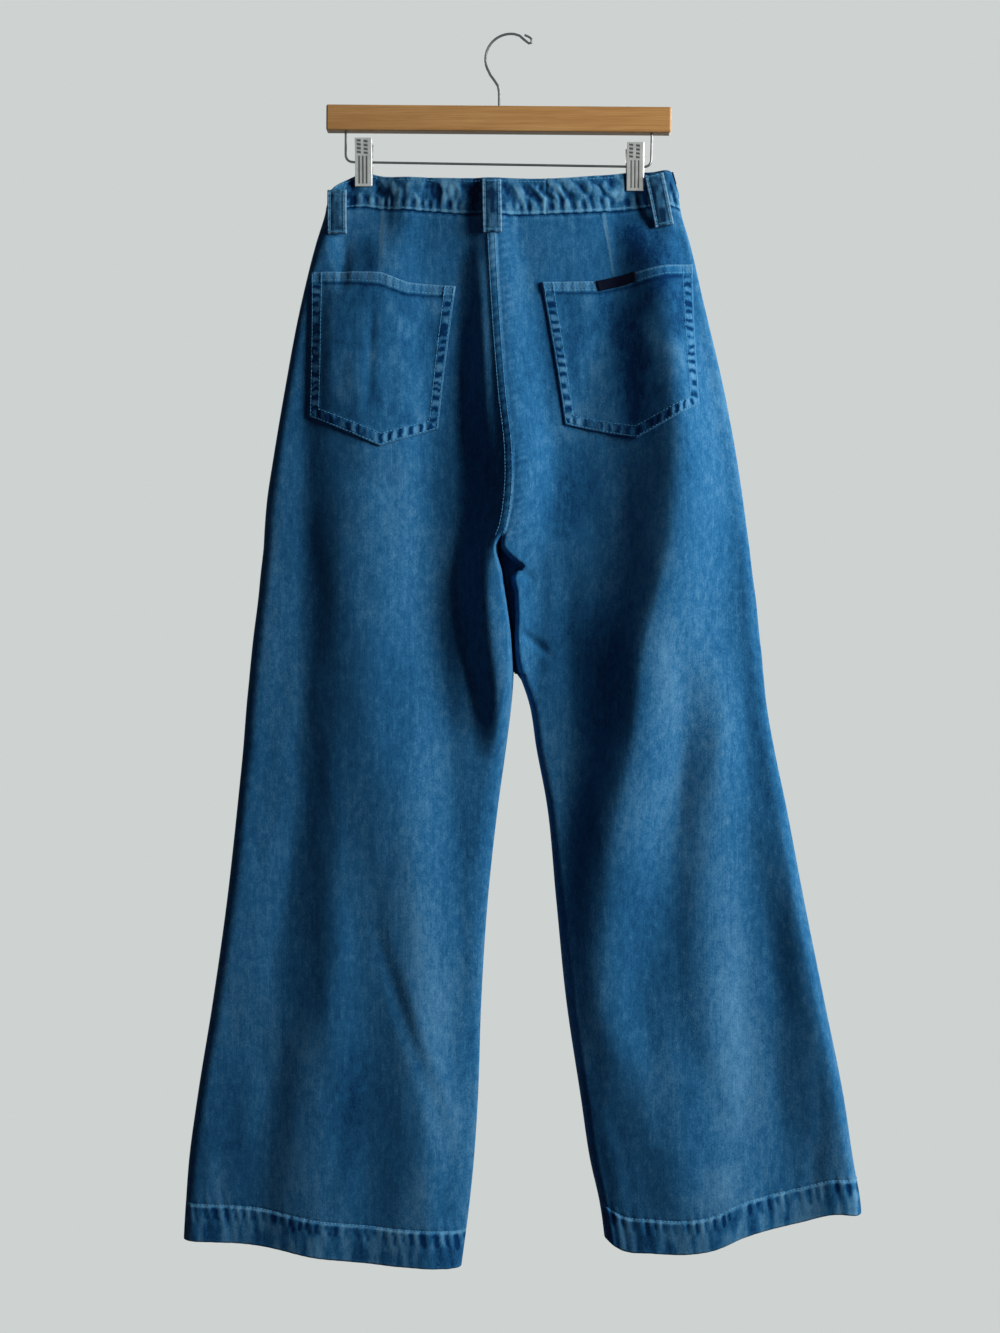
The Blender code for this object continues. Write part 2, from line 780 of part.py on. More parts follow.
def drill(bar, name, x, start, end, radius):
    """A blind hole along z between two drops, wide enough for a wire of this radius."""
    bm = bmesh.new()
    reach = abs(end - start) * MM
    hole = (radius + HOLE_CLEARANCE) * MM
    bmesh.ops.create_cone(
        bm, cap_ends=True, segments=16, radius1=hole, radius2=hole, depth=reach
    )
    cutter = bpy.data.objects.new(name, mesh_from(name, bm))
    cutter.location = Vector((x, 0.0, -0.5 * (start + end))) * MM
    cutter.hide_render = True
    cutter.display_type = "WIRE"
    cutters.objects.link(cutter)
    boolean(bar, cutter, "DIFFERENCE")


def wire_object(name, line, radius, metal):
    """A round wire through points given as x and drop on the middle plane."""
    curve = bpy.data.curves.new(name, "CURVE")
    curve.dimensions = "3D"
    curve.bevel_depth = radius * MM
    curve.bevel_resolution = 2
    curve.use_fill_caps = True
    spline = curve.splines.new("POLY")
    spline.points.add(len(line) - 1)
    for point, (x, drop) in zip(spline.points, line):
        point.co = (x * MM, 0.0, -drop * MM, 1.0)
    curve.materials.append(metal)
    obj = bpy.data.objects.new(name, curve)
    parts.objects.link(obj)
    return obj


def make_hook(metal):
    top = BAR_CENTRE[1] - 0.5 * BAR_HEIGHT
    line = [(HOOK_STEM_X, top + HOOK_DEPTH_IN_BAR), (HOOK_STEM_X, 64.0)]
    line += list(HOOK_BEND)
    for turn in np.linspace(*np.radians(HOOK_ARC), HOOK_ARC_POINTS):
        x = HOOK_CENTRE[0] + HOOK_RADIUS * math.cos(turn)
        line.append((x, HOOK_CENTRE[1] - HOOK_RADIUS * math.sin(turn)))
    line += list(HOOK_TIP)
    wire_object("hanger_hook", line, HOOK_WIRE, metal)


def filleted(corners, radius, count):
    """The corners' line with each inner corner rounded."""
    line = [Vector(corners[0])]
    for before, corner, after in zip(corners, corners[1:], corners[2:]):
        corner = Vector(corner)
        start = corner + (Vector(before) - corner).normalized() * radius
        end = corner + (Vector(after) - corner).normalized() * radius
        for share in np.linspace(0.0, 1.0, count):
            line.append(
                start.lerp(corner, share).lerp(corner.lerp(end, share), share)
            )
    line.append(Vector(corners[-1]))
    return line


def make_clip_wire(metal):
    line = filleted(WIRE_CORNERS, WIRE_FILLET, WIRE_FILLET_POINTS)
    wire_object("hanger_wire", line, WIRE_RADIUS, metal)


def wire_drop(x):
    (left_x, left), (right_x, right) = WIRE_CORNERS[1:3]
    return left + (right - left) * (x - left_x) / (right_x - left_x)


def leaf_grid(centre_x, pivot, side, inset):
    """One face of a clip leaf, as rows of height and columns across the leaf."""
    across = np.linspace(-0.5, 0.5, 3) * LEAF_WIDTH
    rows = []
    for height, stand_off in zip(LEAF["height"], LEAF["stand_off"]):
        y = side * (stand_off - inset)
        rows.append([(centre_x + x, y, -(pivot - height)) for x in across])
    return np.array(rows)


def make_leaf(name, centre_x, pivot, side, metal):
    outer = leaf_grid(centre_x, pivot, side, 0.0)
    inner = leaf_grid(centre_x, pivot, side, LEAF_SHEET)
    leaf = finish_object(name, wall_mesh(name, outer, inner), metal)
    for number, edge in enumerate((-1.0, 1.0)):
        bm = bmesh.new()
        bmesh.ops.create_cube(bm, size=1.0)
        reach = float(along(LEAF, "stand_off", 0.0)) - EAR_GAP - 0.3
        size = Vector((EAR_SHEET, reach, 2 * EAR_HALF_HEIGHT)) * MM
        bmesh.ops.scale(bm, vec=size, verts=bm.verts)
        ear = bpy.data.objects.new(f"{name}_ear_{number}", mesh_from(name, bm))
        x = centre_x + edge * (0.5 * LEAF_WIDTH - 0.5 * EAR_SHEET - 0.1)
        ear.location = Vector((x, side * (EAR_GAP + 0.5 * reach), -pivot)) * MM
        ear.hide_render = True
        ear.display_type = "WIRE"
        cutters.objects.link(ear)
        boolean(leaf, ear, "UNION")


def make_spring(name, centre_x, pivot, metal):
    """The coil that the clip turns on, as a sleeve round the wire."""
    bm = bmesh.new()
    inner = WIRE_RADIUS + HOLE_CLEARANCE
    profile = [(SPRING_RADIUS, -0.5), (SPRING_RADIUS, 0.5), (inner, 0.5), (inner, -0.5)]
    rings = []
    for turn in np.linspace(0.0, 2.0 * math.pi, SPRING_SIDES, endpoint=False):
        ring = []
        for radius, end in profile:
            place = Vector((end * SPRING_LENGTH, radius * math.cos(turn), radius * math.sin(turn)))
            ring.append(bm.verts.new((place + Vector((centre_x, 0.0, -pivot))) * MM))
        rings.append(ring)
    for ring, following in zip(rings, rings[1:] + rings[:1]):
        for i in range(len(profile)):
            j = (i + 1) % len(profile)
            bm.faces.new((ring[i], ring[j], following[j], following[i]))
    finish_object(name, mesh_from(name, bm), metal)


def make_clips(metal):
    for side, centre_x in CLIP_X.items():
        pivot = wire_drop(centre_x)
        make_leaf(f"clip_{side}_near_leaf", centre_x, pivot, -1.0, metal)
        make_leaf(f"clip_{side}_far_leaf", centre_x, pivot, 1.0, metal)
        make_spring(f"clip_{side}_spring", centre_x, pivot, metal)


def collection(name):
    made = bpy.data.collections.new(name)
    bpy.context.scene.collection.children.link(made)
    return made


for startup_object in list(bpy.data.objects):
    bpy.data.objects.remove(startup_object)

parts = collection("wide_leg_jeans_on_hanger")
cutters = collection("cutters")
cutters.hide_render = True


def main():
    denim = new_material("denim", (0.045, 0.155, 0.29), 0.85)
    thick_denim = new_material("denim_trim", (0.04, 0.13, 0.25), 0.85)
    woven = new_material("label_cloth", (0.012, 0.016, 0.035), 0.7)
    wood = new_material("honey_wood", (0.42, 0.2, 0.07), 0.45)
    steel = new_material("steel", (0.62, 0.62, 0.6), 0.28, metallic=1.0)
    brass = new_material("aged_brass", (0.42, 0.3, 0.16), 0.4, metallic=1.0)
    make_panels(denim)
    make_waistband(thick_denim)
    make_pockets(denim, woven)
    make_fly(denim)
    make_belt_loops(thick_denim)
    make_button(brass)
    make_bar(wood)
    make_hook(steel)
    make_clip_wire(steel)
    make_clips(steel)


main()
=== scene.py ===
"""Looks for the wide-leg jeans on a clip hanger: fine cloth, thread, clips and materials."""

import math

import bpy
import numpy as np
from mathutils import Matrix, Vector


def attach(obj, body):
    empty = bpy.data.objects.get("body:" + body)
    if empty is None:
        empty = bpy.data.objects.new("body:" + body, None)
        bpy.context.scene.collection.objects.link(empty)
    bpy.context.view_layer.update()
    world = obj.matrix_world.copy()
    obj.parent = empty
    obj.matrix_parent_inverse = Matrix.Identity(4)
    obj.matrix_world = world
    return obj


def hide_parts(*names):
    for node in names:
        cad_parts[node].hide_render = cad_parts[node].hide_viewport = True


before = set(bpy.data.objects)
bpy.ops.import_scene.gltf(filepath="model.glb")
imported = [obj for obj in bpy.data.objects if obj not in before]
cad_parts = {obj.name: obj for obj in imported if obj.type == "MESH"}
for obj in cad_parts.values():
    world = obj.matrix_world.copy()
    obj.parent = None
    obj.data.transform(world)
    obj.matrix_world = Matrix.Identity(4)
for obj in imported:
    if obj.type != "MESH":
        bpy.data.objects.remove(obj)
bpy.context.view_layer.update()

# Lengths are in millimetres until a mesh is made. A drop is a distance below the hook's resting point.
MM = 0.001

SEAM_GAP = 0.3
PATCH_GAP = 0.5
PANEL_WALL = 2.0
BAND_WALL = 2.6
POCKET_WALL = 1.6
LABEL_WALL = 0.8
LOOP_WALL = 1.8

CROTCH_DROP = 513.0
CROTCH_CLOSES_OVER = 12.0
CREST_ROUND = 0.1
TOWARDS = {"back": -1.0, "front": 1.0}
OUTWARD = {"left": -1.0, "right": 1.0}


def table(names, *rows):
    """A table with named columns. The first column is the place that the others are read at."""
    return dict(zip(names.split(), np.array(rows, float).T))


def fold_table(*rows):
    """A fold of the cloth by drop: its crest, its run to each side, its height, and how sharp it is."""
    names = ["drop", "x", "left_run", "right_run", "height", "sharp"]
    return table(" ".join(names[: len(rows[0])]), *rows)


def mix(first, second, share):
    return first + (second - first) * share


def smooth_step(share):
    share = np.clip(share, 0.0, 1.0)
    return share * share * (3.0 - 2.0 * share)


def bell(away, width):
    return np.exp(-((away / width) ** 2))


def along(rows, name, place):
    """Reads a column at any place, on a smooth curve through the table's rows."""
    places, values = next(iter(rows.values())), rows[name]
    slopes = np.gradient(values, places)
    place = np.clip(place, places[0], places[-1])
    row = np.clip(np.searchsorted(places, place, side="right") - 1, 0, len(places) - 2)
    span = places[row + 1] - places[row]
    share = (place - places[row]) / span
    start = (1.0 + 2.0 * share) * (1.0 - share) ** 2
    rise = share * (1.0 - share) ** 2 * span
    fall = share**2 * (share - 1.0) * span
    return (
        start * values[row]
        + (1.0 - start) * values[row + 1]
        + rise * slopes[row]
        + fall * slopes[row + 1]
    )


# The tables down to LOOPS are the part's own, so that each piece here lies on its solid. The folds at
# the seat seam, the closing of the crotch and the fade of the clips' pinches are finer here.
OUTLINE = table(
    "drop left_side left_inner right_inner right_side",
    (137, -176, -20, -20, 161),
    (158, -182, -19, -19, 167),
    (178, -185.6, -18, -18, 170),
    (209, -195, -16.5, -16.5, 179),
    (265, -209, -13.5, -13.5, 192),
    (365, -228, -6, -6, 215),
    (425, -238, 0, 0, 226),
    (465, -244, -1, -1, 232),
    (495, -246.5, -6, -6, 236),
    (513, -247.5, -12.5, -12.5, 238.5),
    (537, -250.2, -8.6, -8.4, 241.2),
    (565, -253, -4.1, -3.8, 245),
    (605, -258, 1.2, 1.5, 249),
    (622, -259.8, 2.4, 3.1, 251),
    (634, -261, 2.9, 5.2, 252),
    (645, -262, 2.6, 10, 253),
    (665, -264, 1.1, 17, 255),
    (715, -268, -5, 25.5, 263.5),
    (765, -273, -12, 35, 274),
    (865, -284, -23, 45, 293),
    (965, -298, -29.5, 55, 313),
    (1065, -314, -33, 70, 333),
    (1125, -322, -37, 79, 342),
    (1165, -325, -41, 88, 349),
    (1235, -329, -50, 97, 350),
)

WAIST = table(
    "x top seam",
    (-182, 158, 178),
    (-168, 148, 175),
    (-147, 139.5, 173.5),
    (-126, 143, 176.5),
    (-81, 145.5, 180),
    (-21, 147, 184.5),
    (49, 146, 182),
    (99, 141, 178.5),
    (124, 138, 176),
    (139, 138, 174),
    (161, 137.5, 174),
    (170, 140, 177),
)

HEM = {
    "left": table(
        "x drop",
        (-328, 1202),
        (-249, 1206.5),
        (-186, 1217),
        (-126, 1223),
        (-71, 1227),
        (-49, 1230),
    ),
    "right": table(
        "x drop",
        (95, 1201),
        (107, 1208),
        (139, 1211),
        (169, 1212),
        (199, 1208),
        (229, 1197.5),
        (259, 1191),
        (289, 1184),
        (320, 1174.5),
        (349, 1175.6),
    ),
}

BODY = {
    "back": table(
        "drop depth radius",
        (137, 7.5, 8),
        (178, 8, 8),
        (265, 9, 9),
        (365, 10, 11),
        (513, 11, 13),
        (800, 11, 14),
        (1235, 10, 12),
    ),
    "front": table(
        "drop depth radius",
        (137, 7.5, 8),
        (178, 8, 8),
        (265, 11, 11),
        (513, 15, 15),
        (800, 15, 16),
        (1235, 13, 14),
    ),
}

FOLDS = {
    "back": {
        "left_thigh": fold_table(
            (150, -118, 40, 40, 3),
            (195, -120, 50, 40, 6),
            (265, -124, 50, 45, 9),
            (415, -124, 55, 52, 12),
            (555, -124, 60, 56, 13),
            (705, -114, 62, 60, 15),
            (805, -104, 62, 58, 17),
            (965, -98, 62, 56, 17),
            (1105, -88, 80, 52, 17),
            (1235, -88, 80, 46, 12),
        ),
        "left_shoulder": fold_table(
            (225, -158, 36, 40, 0),
            (265, -165, 38, 50, 6),
            (415, -168, 42, 55, 10),
            (555, -168, 46, 58, 12),
            (705, -165, 50, 60, 13),
            (805, -162, 56, 62, 13),
            (965, -172, 68, 72, 13),
            (1105, -186, 80, 90, 13),
            (1235, -190, 80, 90, 9),
        ),
        "seat_seam": fold_table(
            (150, -20, 30, 30, 3),
            (195, -18, 35, 30, 7),
            (265, -14, 46, 40, 13),
            (365, -6, 54, 45, 20),
            (435, -1, 54, 50, 25),
            (490, -7, 48, 52, 26),
            (530, -19, 38, 56, 25),
            (600, -18, 34, 52, 24),
            (660, -12, 28, 40, 17),
            (725, -14, 24, 24, 0),
        ),
        "right_thigh": fold_table(
            (150, 112, 30, 25, 3, 0),
            (195, 135, 45, 28, 9, 0),
            (265, 151, 54, 38, 18, 0),
            (345, 158, 86, 48, 30, 0.6),
            (415, 161, 122, 58, 39, 0.9),
            (505, 155, 115, 75, 42, 0.9),
            (555, 145, 98, 86, 41, 0.8),
            (605, 132, 82, 98, 38, 0.6),
            (705, 121, 68, 80, 31, 0.3),
            (805, 103, 60, 75, 25, 0),
            (905, 93, 52, 75, 18, 0),
            (965, 94, 48, 80, 15, 0),
            (1055, 127, 72, 80, 14, 0),
            (1155, 152, 85, 80, 13, 0),
            (1235, 152, 85, 80, 9, 0),
        ),
        "right_shin": fold_table(
            (585, 200, 40, 35, 0),
            (705, 202, 40, 34, 14),
            (805, 192, 56, 50, 12),
            (905, 188, 70, 56, 12),
            (1005, 192, 80, 54, 13),
            (1105, 200, 80, 54, 11),
            (1235, 215, 60, 50, 6),
        ),
        "right_edge": fold_table(
            (760, 262, 30, 20, 0),
            (865, 281, 36, 24, 7),
            (965, 301, 42, 28, 9),
            (1065, 320, 56, 30, 10),
            (1165, 335, 60, 30, 8),
            (1235, 338, 60, 30, 6),
        ),
        "seat": fold_table(
            (230, 20, 70, 90, 0),
            (415, 30, 70, 100, 8),
            (505, 40, 60, 80, 8),
            (600, 50, 50, 60, 5),
            (700, 60, 50, 50, 0),
        ),
        "waist": fold_table(
            (137, -12, 130, 125, 5),
            (190, -12, 130, 125, 5),
            (300, -12, 130, 125, 0),
        ),
        "left_end": fold_table(
            (140, -176, 11, 14, 5),
            (200, -180, 12, 14, 4),
            (250, -188, 20, 20, 0),
        ),
        "right_end": fold_table(
            (140, 150, 12, 12, 5),
            (200, 158, 16, 12, 4),
            (250, 166, 20, 20, 0),
        ),
    },
    "front": {
        "left_crease": fold_table(
            (150, -90, 60, 60, 0),
            (400, -105, 80, 70, 5),
            (800, -135, 80, 80, 7),
            (1235, -170, 80, 80, 5),
        ),
        "right_crease": fold_table(
            (150, 70, 60, 60, 0),
            (400, 95, 70, 80, 5),
            (800, 150, 80, 80, 7),
            (1235, 210, 80, 80, 5),
        ),
        "waist": fold_table(
            (137, -12, 130, 125, 6),
            (190, -12, 130, 125, 6),
            (300, -12, 130, 125, 0),
        ),
    },
}

CLIP_X = {"left": -146.9, "right": 123.8}
PINCHED_DEPTH = 3.5
PINCH_HALF_WIDTH = 13.0
PINCH_FADE = 36.0
PINCH_FULL_TO = 160.0
PINCH_GONE_AT = 235.0

POCKETS = {
    "left": table(
        "x drop",
        (-199, 240),
        (-165, 240),
        (-129, 242),
        (-104, 251),
        (-55, 254),
        (-72.5, 396),
        (-129.5, 415),
        (-200.5, 384),
    ),
    "right": table(
        "x drop",
        (30, 250.5),
        (83, 249),
        (122, 242),
        (152, 236),
        (180.5, 231.5),
        (184.5, 375),
        (122.5, 408.5),
        (53.5, 392.5),
    ),
}
LABEL_LENGTH = 38.0
LABEL_HEIGHT = 10.6
LABEL_LIFT = 1.35
LABEL = table("x drop", (84, 249.4), (122, 241.2), (123.2, 251.8), (87, 259.2))

FLY_WIDTH = 38.0
FLY_LENGTH = 150.0
FLY_OVERLAP = 20.0

LOOP_WIDTH = 19.0
LOOP_LIFT = 3.0
LOOP_SEAT = 0.6
LOOPS = table(
    "number upper_x upper_drop lower_x lower_drop face",
    (1, -173.0, 157.5, -172.5, 202.5, -1),
    (2, -19.5, 149.5, -18.5, 203.5, -1),
    (3, 141.8, 142.0, 152.0, 194.5, -1),
    (4, 62.0, 147.0, 64.0, 201.0, 1),
    (5, -98.0, 146.5, -100.0, 200.0, 1),
)
LOOP_NAMES = {
    1: "belt_loop_back_left",
    2: "belt_loop_back_centre",
    3: "belt_loop_back_right",
    4: "belt_loop_front_right",
    5: "belt_loop_front_left",
}

WIRE_CORNERS = ((-165.1, 89.0), (-165.4, 126.9), (140.2, 131.9), (141.1, 91.0))
LEAF_WIDTH = 17.0
LEAF_GROOVES = (-4.5, -0.8, 2.9)
LEAF_COLUMNS = (-4.6, 2.2)
LEAF_BARS = (7.2, 10.8, 14.4, 18.0)
LEAF_SHEET = 1.0
EAR_REACH = 6.0
EAR_BOW = 3.0
EAR_SHEET = 0.9
COIL_TURNS = 5.0
COIL_HALF = 5.2
COIL_RADIUS = 3.9
COIL_WIRE = 0.75
COIL_ARM_X = 5.5
HOOK_WIRE = 1.15
HOOK_CURL = ((20.6, 5.6), (20.5, 4.2), (19.4, 2.8), (17.2, 1.4), (13.6, -0.2))
LEAF = table(
    "height stand_off",
    (-25.6, 5.0),
    (-18.0, 5.4),
    (-9.0, 6.0),
    (0.0, 6.4),
    (8.0, 7.0),
    (15.0, 8.6),
    (21.0, 10.4),
)
LEAF_LOW, LEAF_HIGH = LEAF["height"][[0, -1]]

# Beside the gap between the legs: how round each edge is, and how far the right leg's cloth lies back.
INNER = table(
    "drop left_radius right_radius crevice",
    (500, 5, 6, 0),
    (513, 4, 5, 1),
    (520, 4, 5, 6),
    (528, 4, 5, 14),
    (533, 4, 5, 19),
    (538, 4, 5, 11.5),
    (560, 4, 5, 7.5),
    (585, 4, 6, 4),
    (603, 4.5, 7, 1.2),
    (615, 5, 8, 0),
    (650, 8, 9, 0),
    (700, 14, 9, 0),
    (1235, 15, 9, 0),
)
CREVICE_DEPTH = 0.1

# Creases too narrow for the solids: width, height, then the line that each follows as x and drop.
# The taper says how fast a line's ends fade.
CREASE_TAPER = 0.8
CREASES = {
    "back": (
        (8, -1.9, ((-134, 880), (-118, 940), (-101, 992), (-84, 1040), (-66, 1100))),
        (8, 0.8, ((-118, 890), (-100, 950), (-84, 1000), (-50, 1096))),
        (4.5, -3.4, ((5, 594), (22, 607), (40, 621))),
        (5, -2.0, ((10, 536), (17, 543), (23, 548))),
        (7, -1.3, ((-50, 215), (-51, 300), (-46, 385), (-36, 455))),
        (7, 3.2, ((-32, 215), (-29, 300), (-27, 370), (-22, 430))),
        (12, -1.6, ((-205, 470), (-190, 560), (-196, 650))),
        (12, 3.0, ((-62, 545), (-50, 620), (-46, 690))),
        (6, -1.6, ((-136, 262), (-139, 330), (-142, 400))),
        (12, -1.4, ((-215, 760), (-225, 860), (-238, 960))),
        (16, 1.5, ((-180, 800), (-176, 900), (-190, 1010))),
        (11, -1.2, ((-160, 1040), (-176, 1120), (-180, 1180))),
        (12, 1.2, ((-250, 1010), (-262, 1090), (-268, 1170))),
        (10, -1.3, ((-60, 1090), (-66, 1150), (-62, 1200))),
        (12, -1.6, ((60, 520), (52, 590), (62, 660))),
        (10, -1.3, ((170, 690), (166, 760), (156, 850))),
        (12, -1.5, ((240, 640), (244, 720), (252, 800))),
        (10, 1.4, ((262, 740), (276, 830), (288, 930))),
        (12, -1.4, ((120, 930), (140, 1020), (152, 1110))),
        (9, 1.2, ((84, 1060), (100, 1120), (110, 1180))),
        (12, -1.5, ((250, 960), (262, 1050), (266, 1140))),
        (9, -1.2, ((300, 1010), (306, 1090), (300, 1160))),
        (14, -1.3, ((-170, 440), (-120, 455), (-70, 452))),
        (12, -1.1, ((60, 440), (110, 452), (170, 430))),
        (10, -0.9, ((-60, 215), (-52, 240))),
        (6, -2.6, ((-160, 178), (-163, 205), (-168, 262))),
        (6, -2.6, ((-36, 150), (-38, 185), (-44, 240))),
        (6, -2.4, ((134, 172), (139, 192), (147, 214))),
        (12, -1.0, ((30, 212), (22, 238))),
    ),
    "front": (
        (12, -1.6, ((-16, 470), (-60, 486), (-120, 480))),
        (12, -1.6, ((4, 470), (50, 488), (110, 482))),
        (10, -1.2, ((-18, 440), (-70, 446), (-130, 432))),
        (10, -1.2, ((4, 440), (60, 448), (124, 430))),
        (12, -1.4, ((-60, 560), (-52, 660), (-70, 760))),
        (12, -1.4, ((60, 560), (66, 660), (90, 760))),
        (12, -1.5, ((-220, 700), (-226, 820), (-244, 930))),
        (12, 1.4, ((-90, 860), (-96, 960), (-110, 1060))),
        (12, -1.5, ((210, 640), (232, 760), (250, 880))),
        (12, 1.4, ((120, 900), (130, 1000), (146, 1100))),
        (12, -1.3, ((-200, 1030), (-214, 1120), (-220, 1180))),
        (12, -1.3, ((230, 1000), (250, 1080), (262, 1150))),
        (12, -1.2, ((-140, 240), (-150, 320))),
        (12, -1.2, ((110, 240), (126, 320))),
    ),
}

# Long soft marks, given like the creases: paler above 0, darker below. On the back they are mostly
# painted light: the dark ones are painted shade in fold valleys, the pale ones painted light on lit
# crests. On the front they are wear.
LONG_MARK_TAPER = 0.6
FADES_AND_PAINTED_LIGHT = {
    "back": (
        (24, 0.34, ((-102, 760), (-92, 860), (-84, 960), (-70, 1060), (-62, 1130))),
        (26, 0.36, ((204, 780), (212, 870), (217, 960), (217, 1060), (214, 1110))),
        (16, 0.4, ((150, 570), (150, 640), (158, 700))),
        (24, -0.5, ((80, 560), (100, 640), (108, 710))),
        (16, -0.35, ((-156, 1000), (-157, 1060), (-160, 1150))),
        (25, -0.55, ((140, 190), (165, 310))),
        (14, -0.5, ((118, 180), (124, 236))),
        (9, -0.6, ((-141, 200), (-138, 245))),
        (16, -0.9, ((108, 262), (117, 320), (122, 380), (130, 410))),
        (14, 0.3, ((-120, 190), (-118, 260))),
        (24, -0.4, ((58, 405), (66, 450), (60, 510))),
        (15, 0.35, ((-110, 318), (-104, 390))),
        (16, 0.42, ((-292, 1110), (-286, 1186))),
        (13, 0.4, ((-88, 1118), (-92, 1196))),
        (24, 0.4, ((202, 1118), (208, 1178))),
    ),
    "front": (
        (24, 0.34, ((-120, 760), (-112, 900), (-104, 1060))),
        (24, 0.34, ((150, 780), (170, 900), (190, 1060))),
        (20, 0.3, ((-110, 320), (-118, 470))),
        (20, 0.3, ((96, 320), (108, 470))),
    ),
}
DARTS = (((-128, 179), (-130, 240)), ((92, 180), (101, 238)))

HEM_BAND = {"left": 37.0, "right": 34.0}
HEM_PUCKERS = 9.5
SEAT_BAND = 11.0

# Rows of thread: insets from the edge that each follows, or from a loop's middle, and where rows end.
SEAT_ROWS = {"back": (1.6, 8.4), "front": (1.6, 7.2)}
SEAT_ROWS_FROM = {"back": 187.0, "front": 338.0}
SEAT_ROWS_TO = CROTCH_DROP - 9.0
HEM_ROW_ENDS = 4.0
LOOP_ROW_OFFSET = 6.5
FLY_ROWS = (1.8, 7.6)

# Noise seeds. Where a piece needs several, they count on from its own.
SEEDS = {
    "back": 11,
    "front": 23,
    "left_hem": 41,
    "right_hem": 47,
    "back_waist": 53,
    "front_waist": 54,
    "waist_fringe": 55,
    "seat_seam": 61,
    "left_side": 71,
    "right_side": 77,
    "left_pocket": 83,
    "right_pocket": 89,
    "label": 97,
    "band": 101,
    "loops": 120,
    "fly": 141,
    "thread": 500,
}

# Faces that meet at more than these degrees keep a sharp edge.
SHARP_FROM = {"cloth": 70.0, "label": 50.0, "thread": 80.0, "leaf": 40.0, "ears": 30.0, "surround": 60.0}

# The wear of the cloth's inside, which nothing rubs.
INSIDE_WEAR = -0.15

BACK_GRID = {"columns": 118, "hip_rows": 108, "leg_rows": 196, "hem_rows": 42}
FRONT_GRID = {"columns": 84, "hip_rows": 64, "leg_rows": 112, "hem_rows": 30}
HEM_ROWS_FROM = 0.93


def noise(u, v, seed):
    """Smooth noise between -1 and 1, a lattice cell to each unit."""
    lattice = np.random.default_rng(seed).uniform(-1.0, 1.0, (61, 67))
    u, v = np.broadcast_arrays(np.asarray(u, float), np.asarray(v, float))
    column, row = np.floor(u).astype(int), np.floor(v).astype(int)
    s, t = smooth_step(u - column), smooth_step(v - row)
    corner = [
        lattice[(column + i) % 61, (row + j) % 67] for i, j in ((0, 0), (1, 0), (0, 1), (1, 1))
    ]
    return mix(mix(corner[0], corner[1], s), mix(corner[2], corner[3], s), t)


def puckers(place, spacing, seed):
    """Uneven wrinkles across a seam: up to 1 on a crest, down to -1 in a narrow trough."""
    drift = 0.8 * noise(place / (2.4 * spacing), 0.5, seed)
    drift = drift + 0.22 * noise(place / (0.9 * spacing), 4.5, seed)
    strength = np.clip(0.62 + 0.5 * noise(place / (1.6 * spacing), 7.5, seed), 0.12, 1.1)
    wave = 0.5 + 0.5 * np.cos(2.0 * math.pi * (place / spacing + drift))
    return strength * (1.0 - 2.0 * (1.0 - wave) ** 1.6)


def ladder(place, spacing, seed):
    """The blocks that washing leaves along a seam: pale where it is above 0, dark where it is below."""
    wave = puckers(place, spacing, seed) + 0.55 * noise(place / (0.42 * spacing), 1.5, seed + 1)
    return np.tanh(2.4 * (wave - 0.1))


def line_share(x, drop, line):
    """Distance from a line of points, and how far along it the nearest point is, from 0 to 1."""
    points = np.array(line, float)
    lengths = np.hypot(*np.diff(points, axis=0).T)
    total, passed = lengths.sum(), 0.0
    nearest = np.full(np.broadcast(x, drop).shape, 1e9)
    share = np.zeros_like(nearest)
    for start, end, length in zip(points[:-1], points[1:], lengths):
        way = (end - start) / length
        reach = np.clip((x - start[0]) * way[0] + (drop - start[1]) * way[1], 0.0, length)
        away = np.hypot(x - start[0] - way[0] * reach, drop - start[1] - way[1] * reach)
        closer = away < nearest
        nearest = np.where(closer, away, nearest)
        share = np.where(closer, (passed + reach) / total, share)
        passed += length
    return nearest, share


def ridges(lines, x, drop, taper):
    """The sum of soft ridges, each given as width, height and points, fading out to both ends."""
    total = np.zeros(np.broadcast(x, drop).shape)
    for width, height, line in lines:
        away, share = line_share(x, drop, line)
        ends = np.clip(4.0 * share * (1.0 - share), 0.0, 1.0) ** taper
        total = total + height * bell(away, width) * ends
    return total


# The long marks: wear, and on the back mostly painted shade in fold valleys and painted light on lit
# crests.
def fades_and_painted_light(face, x, drop):
    return ridges(FADES_AND_PAINTED_LIGHT[face], x, drop, LONG_MARK_TAPER)


def undulation(face, x, drop):
    """Soft unevenness that all hung cloth has."""
    seed = SEEDS[face]
    lean = x + 0.12 * drop
    return (
        1.5 * noise(lean / 62.0 + 9, drop / 190.0, seed)
        + 0.75 * noise(lean / 27.0 + 9, drop / 95.0, seed + 1)
        + 0.3 * noise(x / 12.0 + 30, drop / 34.0, seed + 2)
    )


def fold_height(fold, x, drop):
    """A soft swell on both sides of the crest. Where sharp says so, the left flank steepens to it."""
    away = x - along(fold, "x", drop)
    left, right = along(fold, "left_run", drop), along(fold, "right_run", drop)
    share = np.clip(np.abs(away) / np.where(away < 0, left, right), 0.0, 1.0)
    swell = 0.5 * (1.0 + np.cos(math.pi * share))
    if "sharp" in fold:
        flank = math.hypot(1.0, CREST_ROUND) - CREST_ROUND
        steep = np.clip(1.0 - (np.hypot(share, CREST_ROUND) - CREST_ROUND) / flank, 0.0, 1.0) ** 2
        swell = mix(swell, steep, np.where(away < 0, along(fold, "sharp", drop), 0.0))
    return along(fold, "height", drop) * swell


def edge_round(share):
    return np.sqrt(1.0 - (1.0 - np.clip(share, 0.0, 1.0)) ** 2)


